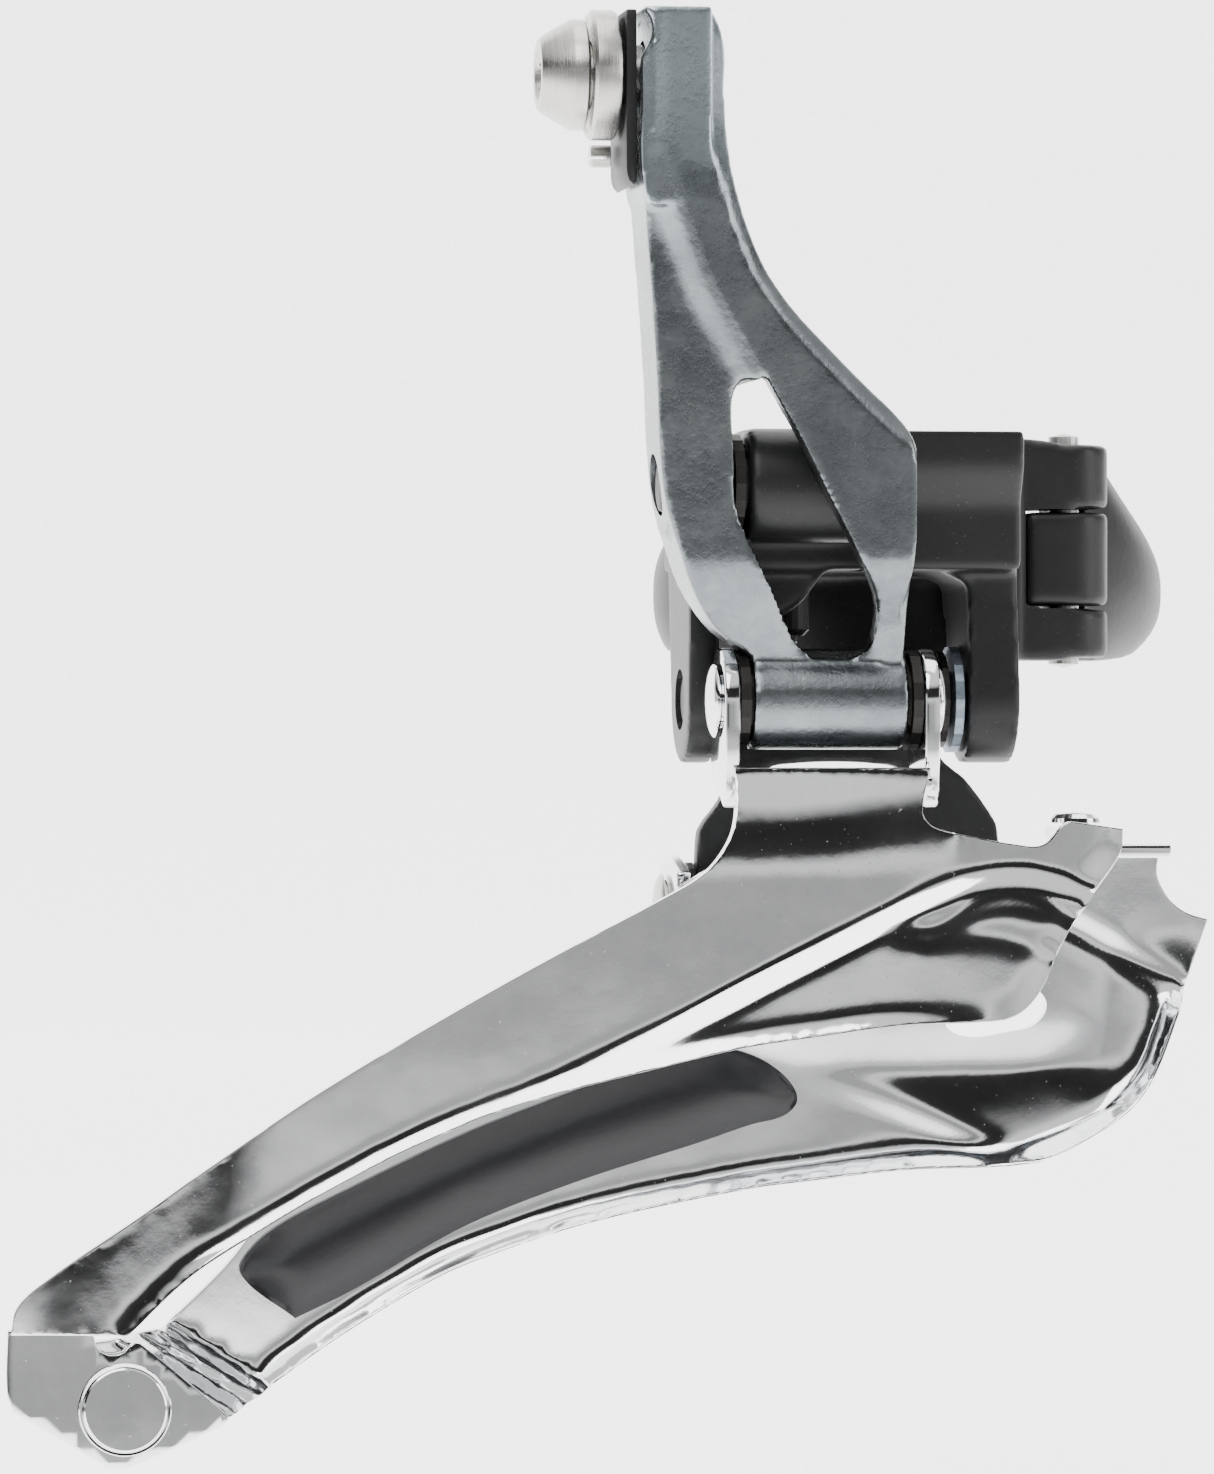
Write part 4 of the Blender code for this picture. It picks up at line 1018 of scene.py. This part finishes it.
def makeClampBand():
    piece = joined("clampBand", [
        ringPatch(-61.5, ring["earAngle"] - 4.0, lambda away: 2.6 * smooth(away, 20, 60)),
        *knuckle(-4.55, 3.05, 3.4), block((5.4, -24.8, -4.55), (9.2, -21.0, 3.05), 0.3),
        *clampEar(-4.8, -1.6)])
    remesh(piece, ring["voxel"], ring["soft"])
    cut(piece, rod((0, 0, -20), (0, 0, 20), ring["tube"], 128),
        upright(-15, 15, ring["hingePin"]),
        boltLine(-12, 4, 2.75), upright(3.05, 12, 3.9), upright(-12, -4.55, 3.9))
    return done(piece, "clampBand", "clamp_band", "black", "black_paint", "clamp_band",
                angle=40)


# inner link between base and cage
link = {"front": -34.0, "back": -31.6, "boss": 4.1, "low": 3.9, "voxel": 0.3, "soft": 4}


def makeLink():
    lean = (pivotD.y - pivotB.y) / (pivotD.z - pivotB.z)
    web = prism(
        [(-20.6, -12.3, 1), (-20.6, -19.0), (-21.6, -21.0), (-22.9, -22.8), (-22.9, -29.2, 1),
         (1.4, -29.2, 1), (1.4, -22.8), (0.2, -20.6), (-1.4, -18.6), (-3.6, -16.6),
         (-3.6, -12.3, 1)],
        lambda x, z: link["front"] + (z - pivotB.z) * lean,
        lambda x, z: link["back"] + (z - pivotB.z) * lean, 1.0)
    hole = prism([(-17.0, -17.6), (-7.0, -17.6), (-6.0, -19.0), (-6.0, -23.2),
                  (-7.0, -24.4), (-17.0, -24.4), (-18.0, -23.2), (-18.0, -19.0)],
                 -45, -20, 0.8)
    cut(web, hole, rodX(pivotD, -19.9, -12.2, 5.7, 64))
    wing = block((-17.4, -30.5, -12.3), (-13.0, -24.1, -8.6))
    heel = sidePiece([(-35.8, -11.1, 1), (-35.4, -8.7), (-33.9, -8.7), (-32.9, -10.3, 1)],
                     -17.4, -13.0, 0.6)
    boss = rodX(pivotB, -20.6, -3.6, link["boss"])
    low = rodX(pivotD, -22.9, 1.4, link["low"])
    piece = joined("innerLink", [web, wing, heel, boss, low])
    remesh(piece, link["voxel"], link["soft"])
    cut(piece, bore(pivotB, 20), bore(pivotD, 20),
        bushSeat(pivotB, -23.5, -17.7), bushSeat(pivotB, -6.5, -0.7),
        bushSeat(pivotD, -25.8, -20.0), bushSeat(pivotD, -1.5, 4.3))
    return done(piece, "innerLink", "inner_link", "link", "black_paint", "inner_link",
                angle=40)


# rivets and pins of the cage
def domedPin(name, pivot, x0, x1, finish, slotName, node):
    dome = [(pin["head"] * math.cos(math.radians(t)), pin["rise"] * math.sin(math.radians(t)))
            for t in range(0, 86, 9)]
    profile = [(radius, x0 - height) for radius, height in dome[::-1]]
    profile += [(pin["shank"], x0), (pin["shank"], x1)]
    profile += [(radius, x1 + height) for radius, height in dome]
    piece = lathe(name, profile, (0, pivot.y, pivot.z), sideways)
    return done(piece, name, "cage", finish, slotName, node, angle=45)


def flushPin(name, pivot, x0, x1, node):
    shank = pin["shank"]
    profile = [(1.6, x0), (2.0, x0 + 0.1), (shank, x0 + 0.4), (shank, x1 - 0.4),
               (2.0, x1 - 0.1), (1.6, x1)]
    piece = lathe(name, profile, (0, pivot.y, pivot.z), sideways)
    return done(piece, name, "base", "link", "bare_steel", node, angle=45)


def makeRivets():
    flushPin("armPivotPin", pivotA, -27.5, -8.8, "arm_pivot_pin")
    flushPin("linkPivotPin", pivotB, -23.9, 2.3, "link_pivot_pin")
    domedPin("cagePivotPin", pivotC, -22.9, -5.2, "chrome", "chrome", "cage_pivot_pin")
    domedPin("lowerPivotPin", pivotD, -25.5, 4.0, "pinA", "bare_steel", "lower_pivot_pin")
    tail = lathe("tailRivet", [
        (3.1, -4.5), (3.4, -4.35), (3.6, -4.1), (3.6, -3.6), (2.75, -3.6), (2.75, 0.0),
        (3.58, 0.0), (3.6, 0.35), (3.52, 0.45), (3.34, 0.42), (3.3, 0.5), (3.24, 0.72),
        (3.1, 0.8)],
        (tailSpot.x, -44.5, tailSpot.z), (0, -1, outer["tailLean"]), 128)
    done(tail, "tailRivet", "cage", "chrome", "chrome", "tail_rivet", angle=18)
    bridge = lathe("bridgeRivet", [
        (0.5, -3.9), (1.4, -3.8), (1.9, -3.5), (2.0, -3.1), (1.1, -3.1), (1.1, 0.0),
        (2.0, 0.0), (1.95, 0.35), (1.6, 0.68), (0.9, 0.8)],
        (bridgeSpot.x, bridgeSpot.y, -22.1), (0, 0, 1))
    done(bridge, "bridgeRivet", "cage", "chrome", "chrome", "bridge_rivet")


def dressKept(finish, slotName, *nodes):
    for node in nodes:
        piece = frame["nodes"][node]
        piece.data.materials.clear()
        piece.data.materials.append(finishes[finish])


makeArm()
makeCableHardware()
makeClampBody()
makeClampBand()
makeLink()
makeOuterPlate()
makeInnerPlate()
makeInsert()
makeRivets()
dressKept("bronze", "bronze", "arm_bush_left", "arm_bush_right", "cage_bush_left",
          "cage_bush_right", "link_bush_left", "link_bush_right", "lower_bush_left",
          "lower_bush_right")
dressKept("pinA", "bare_steel", "return_spring")
dressKept("upright", "bare_steel", "hinge_pin", "clamp_washer", "clamp_bolt")
dressKept("link", "bare_steel", "high_limit_screw", "low_limit_screw")
dressKept("zinc", "zinc", "link_washer")
print("kept nodes dressed")


# floor and backdrop: one sheet with a wide curve between them, lit a little from within
sweep = {"floor": -84.0, "size": 3.6, "wall": 1500.0, "tall": 2.2, "curve": 500.0, "glow": 2.4}


def setStage():
    s = Shade("paleSweep")
    # painted shade: towards the camera the floor is painted darker and its glow is turned off, so
    # the plates reflect dark there
    near = s.split(s.place)[1].between(-0.10, -0.42)
    paleAndShaded = s.blend((s.noise(3, 3.0, 0.5) * 0.2 + near * 0.8).clip(),
                   (0.93, 0.93, 0.93), (0.30, 0.30, 0.30))
    s.finish({"Base Color": paleAndShaded, "Emission Color": s.blend(near, (1, 1, 1), (0, 0, 0))},
             {"Roughness": 0.9, "Emission Strength": sweep["glow"]})
    quiet()
    bpy.ops.mesh.primitive_plane_add(size=sweep["size"], location=(0, 0, sweep["floor"] * mm))
    floor = named("floorSweep")
    bpy.ops.object.mode_set(mode="EDIT")
    bpy.ops.mesh.select_all(action="DESELECT")
    bpy.ops.object.mode_set(mode="OBJECT")
    for vert in floor.data.vertices:
        if vert.co.y > 0:
            vert.co.y = sweep["wall"] * mm
    for edge in floor.data.edges:
        ends = [floor.data.vertices[i].co.y for i in edge.vertices]
        edge.select = min(ends) > 0
    bpy.ops.object.mode_set(mode="EDIT")
    bpy.ops.mesh.extrude_edges_move(TRANSFORM_OT_translate={"value": (0, 0, sweep["tall"])})
    bpy.ops.object.mode_set(mode="OBJECT")
    soften(floor, sweep["curve"], 16)
    floor.data.materials.append(s.material)
    settle(floor)
    bpy.ops.object.shade_smooth()


def setLights():
    for name, place, size, power in (
            ("keySoftbox", (-0.35, -0.75, 0.75), 0.7, 7.0),
            ("fillSoftbox", (0.8, -0.45, 0.25), 0.5, 3.5),
            ("topSoftbox", (0.0, 0.05, 0.9), 0.9, 7.0)):
        bpy.ops.object.light_add(type="AREA", location=place)
        light = bpy.context.active_object
        light.name = name
        light.data.size = size
        light.data.energy = power
        aim = Vector((-0.02, -0.03, -0.02)) - Vector(place)
        light.rotation_euler = aim.to_track_quat("-Z", "Y").to_euler()
    setAir()


# the air round the object: a pale room with two darker flats beside the camera
air = {"dark": 0.022, "front": 0.50, "right": 0.95, "left": 0.75, "back": 1.0}


def setAir():
    world = bpy.data.worlds.new("studioAir")
    bpy.context.scene.world = world
    world.use_nodes = True
    s = Shade("studioAir", world.node_tree)
    x, y, z = s.split(s.node("ShaderNodeTexCoord", {}, (), "Generated"))
    turn = math.radians(view["turn"])
    side = x * math.cos(turn) + y * math.sin(turn)
    front = x * math.sin(turn) - y * math.cos(turn)
    grey = [air["left"], air["left"], air["dark"], air["dark"], air["front"] * 0.8,
            air["front"], air["front"] * 0.9, air["right"], air["right"]]
    places = (0.0, 0.08, 0.15, 0.45, 0.55, 0.60, 0.655, 0.78, 1.0)
    level = s.ramp(side * 0.5 + 0.5, zip(places, grey))
    grey = [0.9, 0.8, air["dark"], air["dark"] * 1.5, 0.0, 1.0, 1.0, air["dark"] * 1.5,
            air["dark"], 1.0, 1.0]
    places = (0.0, 0.30, 0.40, 0.44, 0.47, 0.54, 0.565, 0.59, 0.71, 0.785, 1.0)
    height = s.ramp(z * 0.5 + 0.5, zip(places, grey))
    off = z.between(0.05, 0.10) + z.between(-0.12, -0.2)
    tone = s.mix(off, level, height)
    tone = s.blendOver(front.between(-0.25, -0.55), tone, (air["back"],) * 3)
    background = world.node_tree.nodes["Background"]
    world.node_tree.links.new(tone.socket, background.inputs["Color"])


setCamera()
setStage()
setLights()
